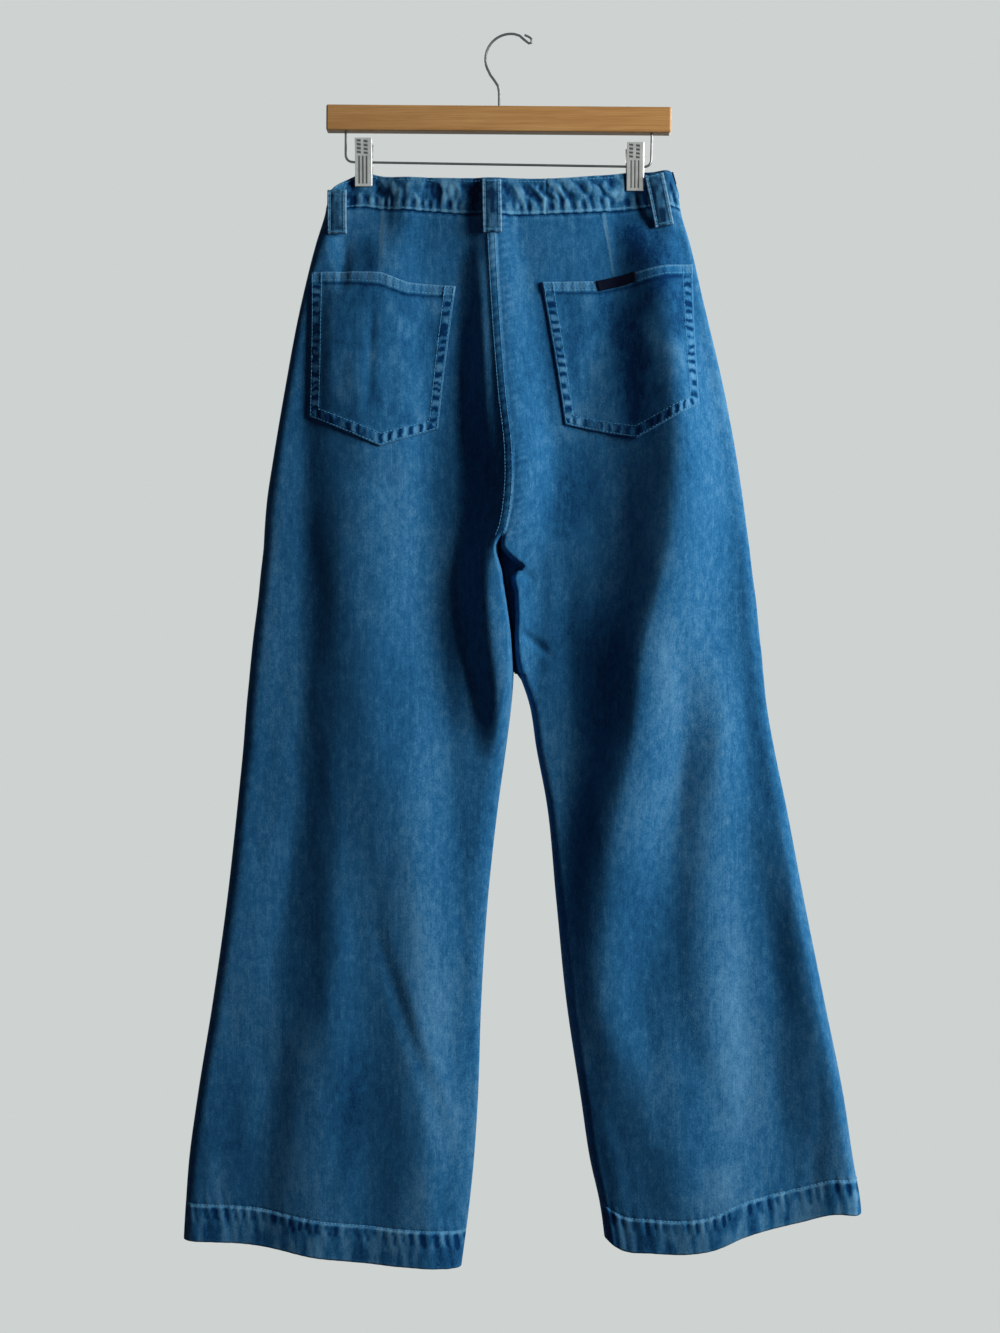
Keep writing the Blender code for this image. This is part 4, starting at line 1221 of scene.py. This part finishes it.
class Pocket:
    """A patch pocket on a back panel, as a grid of u across and v down its own shape."""

    hem = 10.0
    side_rows = (1.7, 10.8)
    top_rows = (1.8, 8.2)

    def __init__(self, leg):
        self.leg = leg
        self.seed = SEEDS[leg + "_pocket"]
        corners = np.stack([POCKETS[leg]["x"], POCKETS[leg]["drop"]], axis=-1)
        self.top = corners[:5]
        self.bottom = corners[[7, 6, 5]]
        self.width = float(np.hypot(*(self.top[-1] - self.top[0])))
        self.height = float(np.hypot(*(self.bottom[0] - self.top[0])))

    def place(self, u, v):
        """x and drop at shares u and v of the pocket."""
        edges = []
        for line in (self.top, self.bottom):
            share = (line[:, 0] - line[0, 0]) / (line[-1, 0] - line[0, 0])
            x = mix(line[0, 0], line[-1, 0], u)
            edges.append((x, np.interp(u, share, line[:, 1])))
        (top_x, top_drop), (low_x, low_drop) = edges
        bow = 0.8 * np.sin(math.pi * v) * (1.0 - 2.0 * u)
        return mix(top_x, low_x, v) + bow, mix(top_drop, low_drop, v)

    def away(self, u, v):
        """Distances from the sides, the top, the sides and bottom together, and the nearest edge."""
        side = np.minimum(u, 1.0 - u) * self.width
        top, low = v * self.height, (1.0 - v) * self.height
        around = np.minimum(side, low)
        return side, top, around, np.minimum(around, top), side < low

    def outer(self, u, v):
        """The pocket's outer face, and its wear with the long marks' painted light and shade added."""
        u, v = np.broadcast_arrays(np.asarray(u, float), np.asarray(v, float))
        x, drop = self.place(u, v)
        side, top, around, edge, beside = self.away(u, v)
        run = np.where(beside, drop, x)
        below_hem = smooth_step((top - self.hem - 1.0) / 3.0)
        rise = self.rise(x, drop, run, top, around, edge, below_hem)
        height = PATCH_GAP + (POCKET_WALL + rise) * (0.3 + 0.7 * edge_round(edge / 1.1))
        points, _ = cloth_surface(self.leg, "back", x, drop)
        points[..., 1] += TOWARDS["back"] * height
        wear_and_painted_light = self.seam_wear(run, around, below_hem) + 0.5 * bell(edge, 1.4)
        # The long marks add painted shade in the fold valleys and painted light on lit crests.
        wear_and_painted_light = wear_and_painted_light + fades_and_painted_light("back", x, drop) + self.cloth_wear(x, drop, side, top, edge)
        return points, wear_and_painted_light

    def rise(self, x, drop, run, top, around, edge, below_hem):
        """Folded edges and top hem, the rows' grooves, puckers between the rows, and soft unevenness."""
        between = smooth_step((around - 1.4) / 1.6) * (1.0 - smooth_step((around - 9.6) / 1.8))
        fold = 0.45 * (1.0 - smooth_step((around - 11.3) / 1.2))
        hem = 0.8 * (1.0 - smooth_step(top - self.hem))
        grooves = sum(-0.4 * bell(around - row, 0.8) for row in self.side_rows) * below_hem
        grooves = grooves + sum(-0.4 * bell(top - row, 0.8) for row in self.top_rows)
        wrinkle = 0.62 * puckers(run, 9.0, self.seed) * between * below_hem
        hem_wrinkle = puckers(x, 10.5, self.seed + 1) * (1.0 - smooth_step((top - 9.0) / 4.0))
        soft = 0.5 * noise(x / 30.0, drop / 42.0, self.seed + 2) * smooth_step(edge / 25.0)
        return fold + hem + grooves + wrinkle + 0.3 * hem_wrinkle + soft

    def seam_wear(self, run, around, below_hem):
        """Blocks of wear along the sides and the bottom."""
        shifted = run + 1.1 * noise(run / 7.0, around / 3.4, self.seed + 8)
        blocks = ladder(shifted, 9.5, self.seed)
        reach = 8.2 + 3.2 * noise(run / 8.0, 3.5, self.seed + 7)
        band = smooth_step((around - 0.8) / 3.0) * (1.0 - smooth_step((around - reach) / 3.4))
        return band * below_hem * (0.88 * blocks - 0.26)

    def cloth_wear(self, x, drop, side, top, edge):
        """Clouds inside the seams, the pale top hem with the dark line under it, and a paler middle."""
        cloud = noise(x / 15.0 + 7, drop / 30.0, self.seed + 4)
        cloud = cloud + 0.5 * noise(x / 5.0, drop / 14.0, self.seed + 5)
        on_hem = 1.0 - smooth_step((top - 9.0) / 2.0)
        wear_and_painted_light = 0.34 * cloud * smooth_step((edge - 9.0) / 8.0)
        wear_and_painted_light = wear_and_painted_light + on_hem * (0.42 + 0.16 * ladder(x, 8.0, self.seed + 1))
        wear_and_painted_light = wear_and_painted_light + 0.35 * bell(top - 0.5, 1.5)
        wear_and_painted_light = wear_and_painted_light - 0.6 * bell(top - self.hem - 1.5, 1.6) * smooth_step((side - 10) / 4)
        return wear_and_painted_light + 0.12 * smooth_step((edge - 18.0) / 30.0)

    def under(self, u, v):
        base, _ = cloth_surface(self.leg, "back", *self.place(u, v))
        base[..., 1] += TOWARDS["back"] * PATCH_GAP
        return base

    def row_inset(self, inset, count=260):
        """A line down one side, along the bottom and up the other, this far inside the edges."""
        side, low = inset / self.width, 1.0 - inset / self.height
        straight, end = np.ones(count), 0.01
        u = np.concatenate([side * straight, np.linspace(side, 1 - side, count), (1 - side) * straight])
        v = np.concatenate([np.linspace(end, low, count), low * straight, np.linspace(low, end, count)])
        return self.outer(u, v)[0], facing("back")

    def row_top(self, inset, count=260):
        ends = 1.5 / self.width
        u = np.linspace(ends, 1 - ends, count)
        return self.outer(u, inset / self.height)[0], facing("back")


def even_steps(count, fine):
    """Steps from 0 to 1, closer together at both ends."""
    step = np.linspace(0.0, 1.0, count + 1)
    return mix(step, 0.5 * (1.0 - np.cos(math.pi * step)), fine)


def make_pockets():
    rows = []
    for leg in ("left", "right"):
        pocket = Pocket(leg)
        u, v = even_steps(104, 0.5)[None, :], even_steps(118, 0.4)[:, None]
        outer, wear_and_painted_light = pocket.outer(u, v)
        u, v = np.broadcast_arrays(u, v)
        obj = wall(f"pocket_cloth_{leg}", outer, pocket.under(u, v), DENIM, "cloth", wear_and_painted_light)
        declare(obj, [f"back_pocket_{leg}"])
        for inset in pocket.side_rows:
            rows.append(pocket.row_inset(inset))
        for inset in pocket.top_rows:
            rows.append(pocket.row_top(inset))
    stitching("pocket_stitching", rows)


def make_label():
    """A woven tape over the right pocket's top hem, folded under at both ends."""
    corners = np.stack([LABEL["x"], LABEL["drop"]], axis=-1)
    u, v = np.linspace(0, 1, 61)[None, :, None], np.linspace(0, 1, 21)[:, None, None]
    flat = mix(mix(corners[0], corners[1], u), mix(corners[3], corners[2], u), v)
    base, _ = cloth_surface("right", "back", flat[..., 0], flat[..., 1])
    u, v = u[..., 0], v[..., 0]
    end = np.minimum(u, 1 - u) * LABEL_LENGTH
    edge = np.minimum(end, np.minimum(v, 1 - v) * LABEL_HEIGHT)
    rise = LABEL_WALL * (0.35 + 0.65 * edge_round(edge / 0.7)) + 0.25 * bell(end - 1.5, 1.2)
    rise = rise + 0.15 * noise(u * 5, v * 2, SEEDS["label"])
    seat = PATCH_GAP + POCKET_WALL + LABEL_LIFT
    outer, inner = base.copy(), base.copy()
    outer[..., 1] -= seat + rise
    inner[..., 1] -= seat - 0.15
    obj = wall("label_cloth", outer, inner, WOVEN, "label")
    declare(obj, ["pocket_label"])


# Points round the waistband: across the back, and across each half of the front.
BAND_BACK = 520
BAND_FRONT = 190


def band_path(height):
    """The waistband's outer face at one height share, from its under end round to its upper end."""
    front = along(OUTLINE, "left_inner", WAIST["top"][5])
    stretch = np.linspace(0.0, 1.0, BAND_FRONT + 1)
    quarter = mix(stretch, np.sin(0.5 * math.pi * stretch), 0.6)
    stretch = np.linspace(0.0, 1.0, BAND_BACK + 1)
    half = mix(stretch, 0.5 * (1.0 - np.cos(math.pi * stretch)), 0.75)
    ends = []
    for end in (0, -1):
        drop = mix(WAIST["top"][end], WAIST["seam"][end], height)
        ends.append(along(OUTLINE, ("left_side", "right_side")[end], drop))
    left, right = ends
    under = mix(front - FLY_OVERLAP, right, quarter)
    back = mix(right, left, half)
    over = mix(left, front + 0.6 * FLY_OVERLAP, 1.0 - quarter[::-1])
    lap = smooth_step((over - front + FLY_OVERLAP + 25.0) / 24.0)
    path = []
    for xs, face, lift in (
        (under[:-1], "front", 0.0),
        (back, "back", 0.0),
        (over[1:], "front", lap[1:] * (BAND_WALL + SEAM_GAP)),
    ):
        drop = mix(along(WAIST, "top", xs), along(WAIST, "seam", xs), height)
        path.append(grid_points(xs, TOWARDS[face] * (cloth_form(face, xs, drop) + lift), -drop))
    return np.concatenate(path)


def loop_shelter(x, face_sign):
    """1 where a belt loop covers the band, 0 elsewhere."""
    cover = np.zeros_like(x)
    for row, side in enumerate(LOOPS["face"]):
        middle = 0.5 * (LOOPS["upper_x"][row] + LOOPS["lower_x"][row])
        hidden = 1.0 - smooth_step((np.abs(x - middle) - 8.5) / 4.0)
        cover = np.maximum(cover, hidden * (face_sign * side > 0))
    return cover


# The band's width at the back, and the one that its relief is measured by. Rows are shares down it.
BAND_WIDTH = 37.0
BAND_HEIGHT = 36.0
BAND_JOIN_X = 34.6
BAND_TOP_ROW = 0.085
BAND_LOW_ROW = 0.925
# Hollows in the back of the band, as x and width: left of the left clip, left of the centre loop, and
# between the right clip and its loop. The band's colour is darkened in them as well, as the painted
# shadow of the clips and loops.
BAND_SHADED_HOLLOWS = ((-160.0, 6.0), (-34.5, 4.5), (134.5, 4.4))


def band_inward(points):
    normals = inward_normals(points, "back")
    return -normals if normals[0, BAND_FRONT + BAND_BACK // 2, 1] < 0 else normals


def band_unevenness(way, t):
    """Slanting wrinkles, which turn to blocks beside the lower row: height, shade and finer noise."""
    seed = SEEDS["band"]
    slant = 12.0 + 12.0 * noise(way / 40.0, 2.5, seed)
    lean = slant * (t - 0.5) + 2.5 * noise(way / 11.0, 3.0 * t, seed + 1)
    low = smooth_step((t - 0.5) / 0.25)
    place = way + 0.3 * lean
    diagonal = noise((way + 1.5 * lean) / 5.6, 1.6 * t + way / 70.0, seed + 4)
    fine = noise((way - lean) / 3.2, 5.0 * t, seed + 6)
    wrinkle = mix(1.25 * np.tanh(2.2 * diagonal), 0.8 * puckers(place, 10.0, seed + 2), low)
    shade = mix(0.7 * np.tanh(2.6 * diagonal - 0.2), 0.75 * ladder(place, 10.0, seed + 2), low)
    return wrinkle, shade + 0.55 * fine, fine


def band_freedom(x, t, face_sign):
    """1 where nothing presses on the band, less under a clip or a belt loop."""
    clip_away = np.minimum(*(np.abs(x - centre) for centre in CLIP_X.values()))
    clipped = smooth_step((PINCH_HALF_WIDTH - clip_away) / 4.0) * smooth_step((0.75 - t) / 0.2)
    return (1.0 - 0.9 * clipped) * (1.0 - 0.75 * loop_shelter(x, face_sign))


def band_surface(heights):
    """Outer points with relief, plain inner points, and wear with painted shadow in the hollows, for
    these height shares.
    """
    rows = np.stack([band_path(height) for height in heights])
    inward = band_inward(rows)
    inward[..., 2] = 0.0
    inward = unit(inward)
    x, t = rows[..., 0], np.asarray(heights)[:, None]
    wrinkle, shade, fine = band_unevenness(measured(rows[len(rows) // 2])[None, :], t)
    pinned = smooth_step((t - BAND_TOP_ROW + 0.02) / 0.2)
    pinned = pinned * smooth_step((BAND_LOW_ROW + 0.02 - t) / 0.2)
    freedom = band_freedom(x, t, np.sign(rows[..., 1]))
    strength = (0.35 + 0.65 * pinned) * freedom
    from_top_row, from_low_row = ((t - row) * BAND_HEIGHT for row in (BAND_TOP_ROW, BAND_LOW_ROW))
    back = rows[..., 1] < 0
    shaded_hollow = sum(bell(x - place, width) for place, width in BAND_SHADED_HOLLOWS) * back
    join = np.where(back, bell(x - BAND_JOIN_X, 0.9), 0.0)
    edge = np.minimum(t, 1.0 - t) * BAND_HEIGHT
    rise = strength * (wrinkle - 0.1 + 0.3 * fine)
    rise = rise - 0.55 * (bell(from_top_row, 0.9) + bell(from_low_row, 0.9)) * freedom
    rise = rise - 1.5 * shaded_hollow - 0.8 * join - (1.0 - edge_round((edge + 0.15) / 1.4))
    # In the hollows the colour is darkened: painted shadow of the clips and loops.
    wear_and_painted_light = (0.4 + 0.6 * strength) * shade + 0.35 * bell(t * BAND_HEIGHT, 2.0) - 0.9 * shaded_hollow
    wear_and_painted_light = wear_and_painted_light + bell(from_low_row, 1.3) - bell((1.0 - t) * BAND_HEIGHT, 0.9) + 0.7 * join
    return rows - inward * np.clip(rise, -1.6, 1.4)[..., None], rows + inward * BAND_WALL, wear_and_painted_light


def make_waistband():
    seam_share = 1.0 - 0.5 * SEAM_GAP / BAND_WIDTH
    outer, inner, wear_and_painted_light = band_surface(seam_share * even_steps(24, 0.5))
    obj = wall("waistband_cloth", outer, inner, TRIM, "cloth", wear_and_painted_light)
    declare(obj, ["waistband"])
    beside = 0.01
    shares = [BAND_TOP_ROW - beside, BAND_TOP_ROW, BAND_LOW_ROW, BAND_LOW_ROW + beside]
    points, _, _ = band_surface(shares)
    outward = -band_inward(points)
    band_stitching([(points[row], outward[row]) for row in (1, 2)])


def band_stitching(rows, step=24):
    """Rows of thread on the band, whose facing turns, taken a short piece at a time."""
    pieces = []
    for line, outward in rows:
        for start in range(0, len(line) - 1, step):
            piece = line[start : start + step + 1]
            if len(piece) > 3:
                pieces.append((piece, outward[start : start + step + 1].mean(axis=0)))
    stitching("band_stitching", pieces)


def loop_frame(row):
    upper = np.array([LOOPS["upper_x"][row], LOOPS["upper_drop"][row]])
    lower = np.array([LOOPS["lower_x"][row], LOOPS["lower_drop"][row]])
    return upper, lower, math.atan2(lower[0] - upper[0], lower[1] - upper[1])


def loop_seat(row, face, share):
    """How far the loop's inside stands out: clear of the cloth, and bowed between its ends."""
    upper, lower, _ = loop_frame(row)
    probe = np.linspace(-0.6, 0.6, 9) * LOOP_WIDTH
    rest = np.linspace(0.0, 1.0, 41)[:, None]
    probe_x = mix(upper[0], lower[0], rest) + probe
    depth = cloth_form(face, probe_x, mix(upper[1], lower[1], rest) + 0 * probe)
    seat = np.interp(share, rest[:, 0], depth.max(axis=1)) + 0.5 * SEAM_GAP + LOOP_SEAT
    return seat + LOOP_LIFT * np.sin(math.pi * np.clip(share, 0, 1)) ** 0.8


def loop_relief(row, across, share, length):
    """A loop's rolled edges, rows and folded ends, and its wear with a dark middle."""
    away = 0.5 * LOOP_WIDTH - np.abs(across)
    end = np.minimum(share, 1.0 - share) * length
    seed = SEEDS["loops"] + row
    wrinkle = puckers(share * length + 3.0 * np.sign(across), 7.5, seed)
    rise = edge_round((away + 0.1) / 1.2) - 1.0 - 0.35 * bell(away - 3.0, 0.9)
    rise = rise + 0.25 * wrinkle * bell(away - 1.2, 2.6) + 0.5 * smooth_step((away - 4.0) / 3.0)
    rise = rise + 0.6 * (1.0 - smooth_step((end - 6.5) / 2.0))
    rise = rise - 1.1 * (1.0 - edge_round((end + 0.1) / 1.3))
    wear_and_painted_light = 0.9 * bell(away - 0.9, 1.4) + 0.5 * wrinkle * bell(away - 1.0, 2.5)
    blot = noise(across / 5.0 + 4, share * length / 8.0, seed + 11)
    wear_and_painted_light = wear_and_painted_light - 0.95 * bell(across, 4.6) * np.clip(0.5 + 1.5 * blot, 0.0, 1.4)
    return rise, wear_and_painted_light - 0.6 * bell(away - 4.2, 0.8) + 0.6 * bell(end - 1.6, 2.2)


def loop_surface(row, across, share):
    """A belt loop's outer and inner face at these places across it and shares down it."""
    upper, lower, lean = loop_frame(row)
    face = "back" if LOOPS["face"][row] < 0 else "front"
    length = float(np.hypot(*(lower - upper)))
    x = mix(upper[0], lower[0], share) + across * math.cos(lean)
    drop = mix(upper[1], lower[1], share) - across * math.sin(lean)
    seat = loop_seat(row, face, share)
    rise, wear_and_painted_light = loop_relief(row, across, share, length)
    outer = grid_points(x, TOWARDS[face] * (seat + LOOP_WALL + rise), -drop)
    inner = grid_points(x, TOWARDS[face] * seat, -drop)
    return outer, inner, wear_and_painted_light, face


def loop_rows(row, face):
    """Thread down both sides of a loop, and a bar of zigzag at each end."""
    rows = []
    for offset in (-LOOP_ROW_OFFSET, LOOP_ROW_OFFSET):
        line = loop_surface(row, np.full(80, offset), np.linspace(0.02, 0.98, 80))[0]
        rows.append((line, facing(face)))
    for end in (0.045, 0.955):
        share = end + 0.016 * np.sign(np.sin(np.arange(90) * 1.1))
        line = loop_surface(row, np.linspace(-8.2, 8.2, 90), share)[0]
        rows.append((line, facing(face)))
    return rows


def make_belt_loops():
    rows = []
    across = (even_steps(26, 0.6)[None, :] - 0.5) * LOOP_WIDTH
    share = even_steps(54, 0.5)[:, None]
    for row, number in enumerate(LOOPS["number"]):
        outer, inner, wear_and_painted_light, face = loop_surface(row, across, share)
        node = LOOP_NAMES[int(number)]
        obj = wall(node + "_cloth", outer, inner, LOOP_DENIM, "cloth", wear_and_painted_light)
        declare(obj, [node])
        rows += loop_rows(row, face)
    stitching("loop_stitching", rows, length=2.6, gap=0.6)


def fly_edge(share):
    """x and drop down the fly's centre edge."""
    top = float(along(WAIST, "seam", -18.0)) + 0.8
    drop = top + FLY_LENGTH * share
    return along(OUTLINE, "left_inner", drop) - 0.5, drop


def fly_place(u, v):
    """u runs from the free edge, rounded at the bottom, to the centre; v runs down."""
    x, drop = fly_edge(v)
    corner = np.clip((drop - fly_edge(1.0)[1] + FLY_WIDTH) / FLY_WIDTH, 0.0, 1.0)
    width = FLY_WIDTH * np.sqrt(np.clip(1.0 - corner**2, 0.0004, 1.0))
    return x - width * (1.0 - u), drop


def fly_width(v):
    return fly_edge(v)[0] - fly_place(np.zeros_like(v), v)[0]


def fly_surface(u, v):
    x, drop = fly_place(u, v)
    base, _ = cloth_surface("left", "front", x, drop)
    away = np.minimum(u * fly_width(v), np.minimum(v, 1.0 - v) * FLY_LENGTH)
    wrinkle = puckers(drop + 4 * u, 9.0, SEEDS["fly"])
    rise = POCKET_WALL * (0.3 + 0.7 * edge_round(away / 1.2)) + 0.35 * wrinkle * bell(away - 5.0, 5.0)
    outer, inner = base.copy(), base.copy()
    outer[..., 1] += PATCH_GAP + rise
    inner[..., 1] += PATCH_GAP
    return outer, inner, 0.5 * wrinkle * bell(away - 5.0, 5.0) + 0.3 * bell(away, 1.5)


def make_fly():
    down = mix(0.002, 0.999, even_steps(110, 0.4))[:, None]
    u, v = np.broadcast_arrays(even_steps(30, 0.5)[None, :], down)
    outer, inner, wear_and_painted_light = fly_surface(u, v)
    obj = wall("fly_cloth", outer, inner, DENIM, "cloth", wear_and_painted_light)
    declare(obj, ["fly"])
    rows = []
    for inset in FLY_ROWS:
        v = np.linspace(0.01, 0.99 - inset / FLY_LENGTH, 300)
        u = np.clip(inset / fly_width(v), 0.0, 0.94)
        rows.append((fly_surface(u, v)[0], facing("front")))
    stitching("fly_stitching", rows)


def wire_drop(x):
    (left_x, left), (right_x, right) = WIRE_CORNERS[1:3]
    return left + (right - left) * (x - left_x) / (right_x - left_x)


def leaf_grooves(across, height):
    """How deep the pressed pattern is: three upright grooves, and two columns of level ones above."""
    lower = smooth_step(height + 23.5) * smooth_step(4.5 - height)
    upright = sum(bell(across - place, 0.7) for place in LEAF_GROOVES)
    upper = smooth_step((height - 5.5) / 0.8) * smooth_step((19.8 - height) / 0.8)
    level = sum(bell(height - place + 0.12 * across, 0.8) for place in LEAF_BARS)
    column = sum(smooth_step((2.3 - np.abs(across - place)) / 0.6) for place in LEAF_COLUMNS)
    return np.clip(lower * upright + upper * level * column, 0.0, 1.0)


def make_clips():
    for side, centre_x in CLIP_X.items():
        pivot = float(wire_drop(centre_x))
        for leaf, towards in (("near", -1.0), ("far", 1.0)):
            make_leaf(side, leaf, towards, centre_x, pivot)
        make_coil(side, centre_x, pivot)


def make_leaf(side, leaf, towards, centre_x, pivot):
    """A pressed leaf from jaw to grip, with the ears that carry it."""
    across = np.linspace(-0.5, 0.5, 47)[None, :] * LEAF_WIDTH
    height = np.linspace(LEAF_LOW, LEAF_HIGH, 110)[:, None]
    grooves = leaf_grooves(across, height)
    rim = 0.5 * LEAF_WIDTH - np.abs(across)
    corner = np.minimum(rim, np.minimum(height - LEAF_LOW, LEAF_HIGH - height))
    body = along(LEAF, "stand_off", height) + 0.7 - 0.3 * grooves
    body = body - 0.8 * (1.0 - edge_round((corner + 0.2) / 1.8))
    outer = grid_points(centre_x + across, towards * body, height - pivot)
    inner = grid_points(centre_x + across, towards * (body - LEAF_SHEET), height - pivot)
    obj = wall(f"clip_{side}_{leaf}_jaw", outer, inner, PRESSED_STEEL, "leaf")
    # Painted shade for the pressed steel: the attribute falls to 0 in the grooves and is lower on the
    # inner face, which darkens them.
    unshaded_share = (1.0 - np.clip(1.5 * grooves, 0.0, 1.0) ** 0.6).ravel()
    point_values(obj.data, "unshaded_share", np.concatenate([unshaded_share, 0.6 * unshaded_share]))
    declare(obj, [f"clip_{side}_{leaf}_leaf"])
    ears = clip_ears(f"clip_{side}_{leaf}_ears", centre_x, pivot, towards)
    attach(ears, "root")


def clip_ears(name, centre_x, pivot, towards):
    """Two rounded plates that carry the leaf on the wire."""
    outline = [(EAR_REACH, -EAR_REACH), (EAR_REACH, EAR_REACH)]
    for t in np.linspace(0.0, math.pi, 13):
        outline.append((1.9 + EAR_BOW * (1 - math.sin(t)) * 0.9, 5.2 * math.cos(t)))
    points, faces = [], []
    for edge in (-1.0, 1.0):
        for face_x in (0.0, EAR_SHEET):
            x = centre_x + edge * (0.5 * LEAF_WIDTH - 0.25 - face_x)
            points += [(x, towards * y, -(pivot - z)) for y, z in outline]
    count = len(outline)
    for first in (0, 2 * count):
        faces.append(list(range(first, first + count)))
        faces.append(list(range(first + 2 * count - 1, first + count - 1, -1)))
        for i in range(count):
            j = (i + 1) % count
            faces.append([first + j, first + i, first + count + i, first + count + j])
    mesh = bpy.data.meshes.new(name)
    mesh.from_pydata([tuple(v * MM for v in p) for p in points], [], faces)
    return link(name, mesh, STEEL, "ears")


def make_coil(side, centre_x, pivot):
    """The torsion spring: turns round the wire, with an arm up each leaf."""
    line = [(-COIL_ARM_X, -5.6, 11.0), (-COIL_ARM_X, -4.6, 2.0)]
    for turn in np.linspace(0.0, COIL_TURNS * 2.0 * math.pi, 90):
        x = COIL_HALF * (turn / (COIL_TURNS * math.pi) - 1.0)
        line.append((x, -COIL_RADIUS * math.cos(turn), COIL_RADIUS * math.sin(turn)))
    line += [(COIL_ARM_X, 4.6, 2.0), (COIL_ARM_X, 5.6, 11.0)]
    placed = [(centre_x + x, y, z - pivot) for x, y, z in line]
    coil = round_wire(f"clip_{side}_coil", placed, COIL_WIRE)
    declare(coil, [f"clip_{side}_spring"])


def make_hook_curl():
    """The end of the hook's wire, bent back over itself."""
    line = [(x, 0.0, -drop) for x, drop in HOOK_CURL]
    curl = round_wire("hook_curl", line, HOOK_WIRE)
    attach(curl, "root")


def round_wire(name, line, radius):
    curve = bpy.data.curves.new(name, "CURVE")
    curve.dimensions = "3D"
    curve.bevel_depth = radius * MM
    curve.bevel_resolution = 2
    curve.use_fill_caps = True
    spline = curve.splines.new("POLY")
    spline.points.add(len(line) - 1)
    for point, place in zip(spline.points, line):
        point.co = (*(Vector(place) * MM), 1.0)
    curve.materials.append(STEEL)
    wire = bpy.data.objects.new(name, curve)
    bpy.context.scene.collection.objects.link(wire)
    return wire


def dress_solids():
    """The plain solids show as they are, in their own materials."""
    looks = {"hanger_bar": WOOD, "hanger_hook": STEEL, "hanger_wire": STEEL, "waist_button": BRASS}
    for node, material in looks.items():
        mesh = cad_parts[node].data
        mesh.materials.clear()
        mesh.materials.append(material)


# The stage, in metres. Each light's row gives its angle and rise round CENTRE, in degrees, then its
# distance, size, power and colour.
CAMERA = (-0.011, -1.5, -0.6315)
LENS = 40.5
VIEW_END = 20.0
CENTRE = Vector((-0.011, 0.0, -0.54))
DAYLIGHT = (1.0, 0.985, 0.96)
SKY = (0.3, 0.68, 1.0)
LIGHTS = (
    ("key", 64.0, 17.0, 2.3, (0.9, 1.2), 73.0, DAYLIGHT),
    ("fill", -25.0, 10.0, 2.6, (1.8, 1.8), 1.2, SKY),
    ("far_side", 150.0, 18.0, 2.6, (1.6, 1.8), 42.0, DAYLIGHT),
)
FLOOR = -1.62
SWEEP_START = 2.6
SWEEP_RADIUS = 1.4
SWEEP_HEIGHT = -0.22
WALL_TOP = 2.4
ROOF = 6.0
SURROUND_STEPS = 72


def area_light(name, angle, rise, distance, size, power, color):
    light = bpy.data.lights.new(name, "AREA")
    light.shape = "RECTANGLE"
    light.size, light.size_y = size
    light.energy = power
    light.color = color
    obj = bpy.data.objects.new(name, light)
    turn, up = math.radians(angle), math.radians(rise)
    away = Vector((math.sin(turn) * math.cos(up), -math.cos(turn) * math.cos(up), math.sin(up)))
    obj.location = CENTRE + away * distance
    obj.rotation_mode = "QUATERNION"
    obj.rotation_quaternion = (-away).to_track_quat("-Z", "Y")
    bpy.context.scene.collection.objects.link(obj)


def surround_profile():
    """Radius and height, from the floor's middle through the sweep and the wall to the roof's."""
    profile = [(0.0, FLOOR), (SWEEP_START, FLOOR)]
    for turn in np.linspace(0.0, 0.5 * math.pi, 9)[1:]:
        radius = SWEEP_START + SWEEP_RADIUS * math.sin(turn)
        profile.append((radius, SWEEP_HEIGHT - SWEEP_RADIUS * math.cos(turn)))
    return profile + [(SWEEP_START + SWEEP_RADIUS, WALL_TOP), (0.0, ROOF)]


def make_surround():
    """A pale floor that sweeps up into a wall all round, far enough out to hold every view."""
    profile = surround_profile()
    points, faces = [], []
    for turn in np.linspace(0.0, 2.0 * math.pi, SURROUND_STEPS, endpoint=False):
        points += [(r * math.cos(turn), r * math.sin(turn), z) for r, z in profile]
    count = len(profile)
    for i in range(SURROUND_STEPS):
        j = (i + 1) % SURROUND_STEPS
        for k in range(count - 1):
            faces.append((i * count + k, j * count + k, j * count + k + 1, i * count + k + 1))
    mesh = bpy.data.meshes.new("surround")
    mesh.from_pydata(points, [], faces)
    surround = link("surround", mesh, glowing("pale_surround", rgb(0.615, 0.65, 0.64)), "surround")
    surround.visible_diffuse = False
    surround.visible_shadow = False


def glowing(name, color):
    material = bpy.data.materials.new(name)
    material.use_nodes = True
    tree = material.node_tree
    glow = add(tree, "Emission", {"Color": color})
    set_inputs(tree, tree.nodes["Material Output"], {"Surface": glow.outputs[0]})
    return material


def make_stage():
    scene = bpy.context.scene
    make_surround()
    for light in LIGHTS:
        area_light(*light)
    scene.world = bpy.data.worlds.new("studio")
    scene.world.use_nodes = True
    background = scene.world.node_tree.nodes["Background"]
    background.inputs["Color"].default_value = rgb(0.25, 0.62, 1.0)
    background.inputs["Strength"].default_value = 0.022
    camera = bpy.data.cameras.new("camera")
    camera.lens = LENS
    camera.clip_end = VIEW_END
    camera = bpy.data.objects.new("camera", camera)
    camera.location = CAMERA
    camera.rotation_euler = (math.radians(90.0), 0.0, 0.0)
    scene.collection.objects.link(camera)
    scene.camera = camera
    scene.view_settings.view_transform = "Standard"


make_stage()
make_panels()
make_panel_stitching()
make_waistband()
make_pockets()
make_label()
make_belt_loops()
make_fly()
make_clips()
make_hook_curl()
dress_solids()
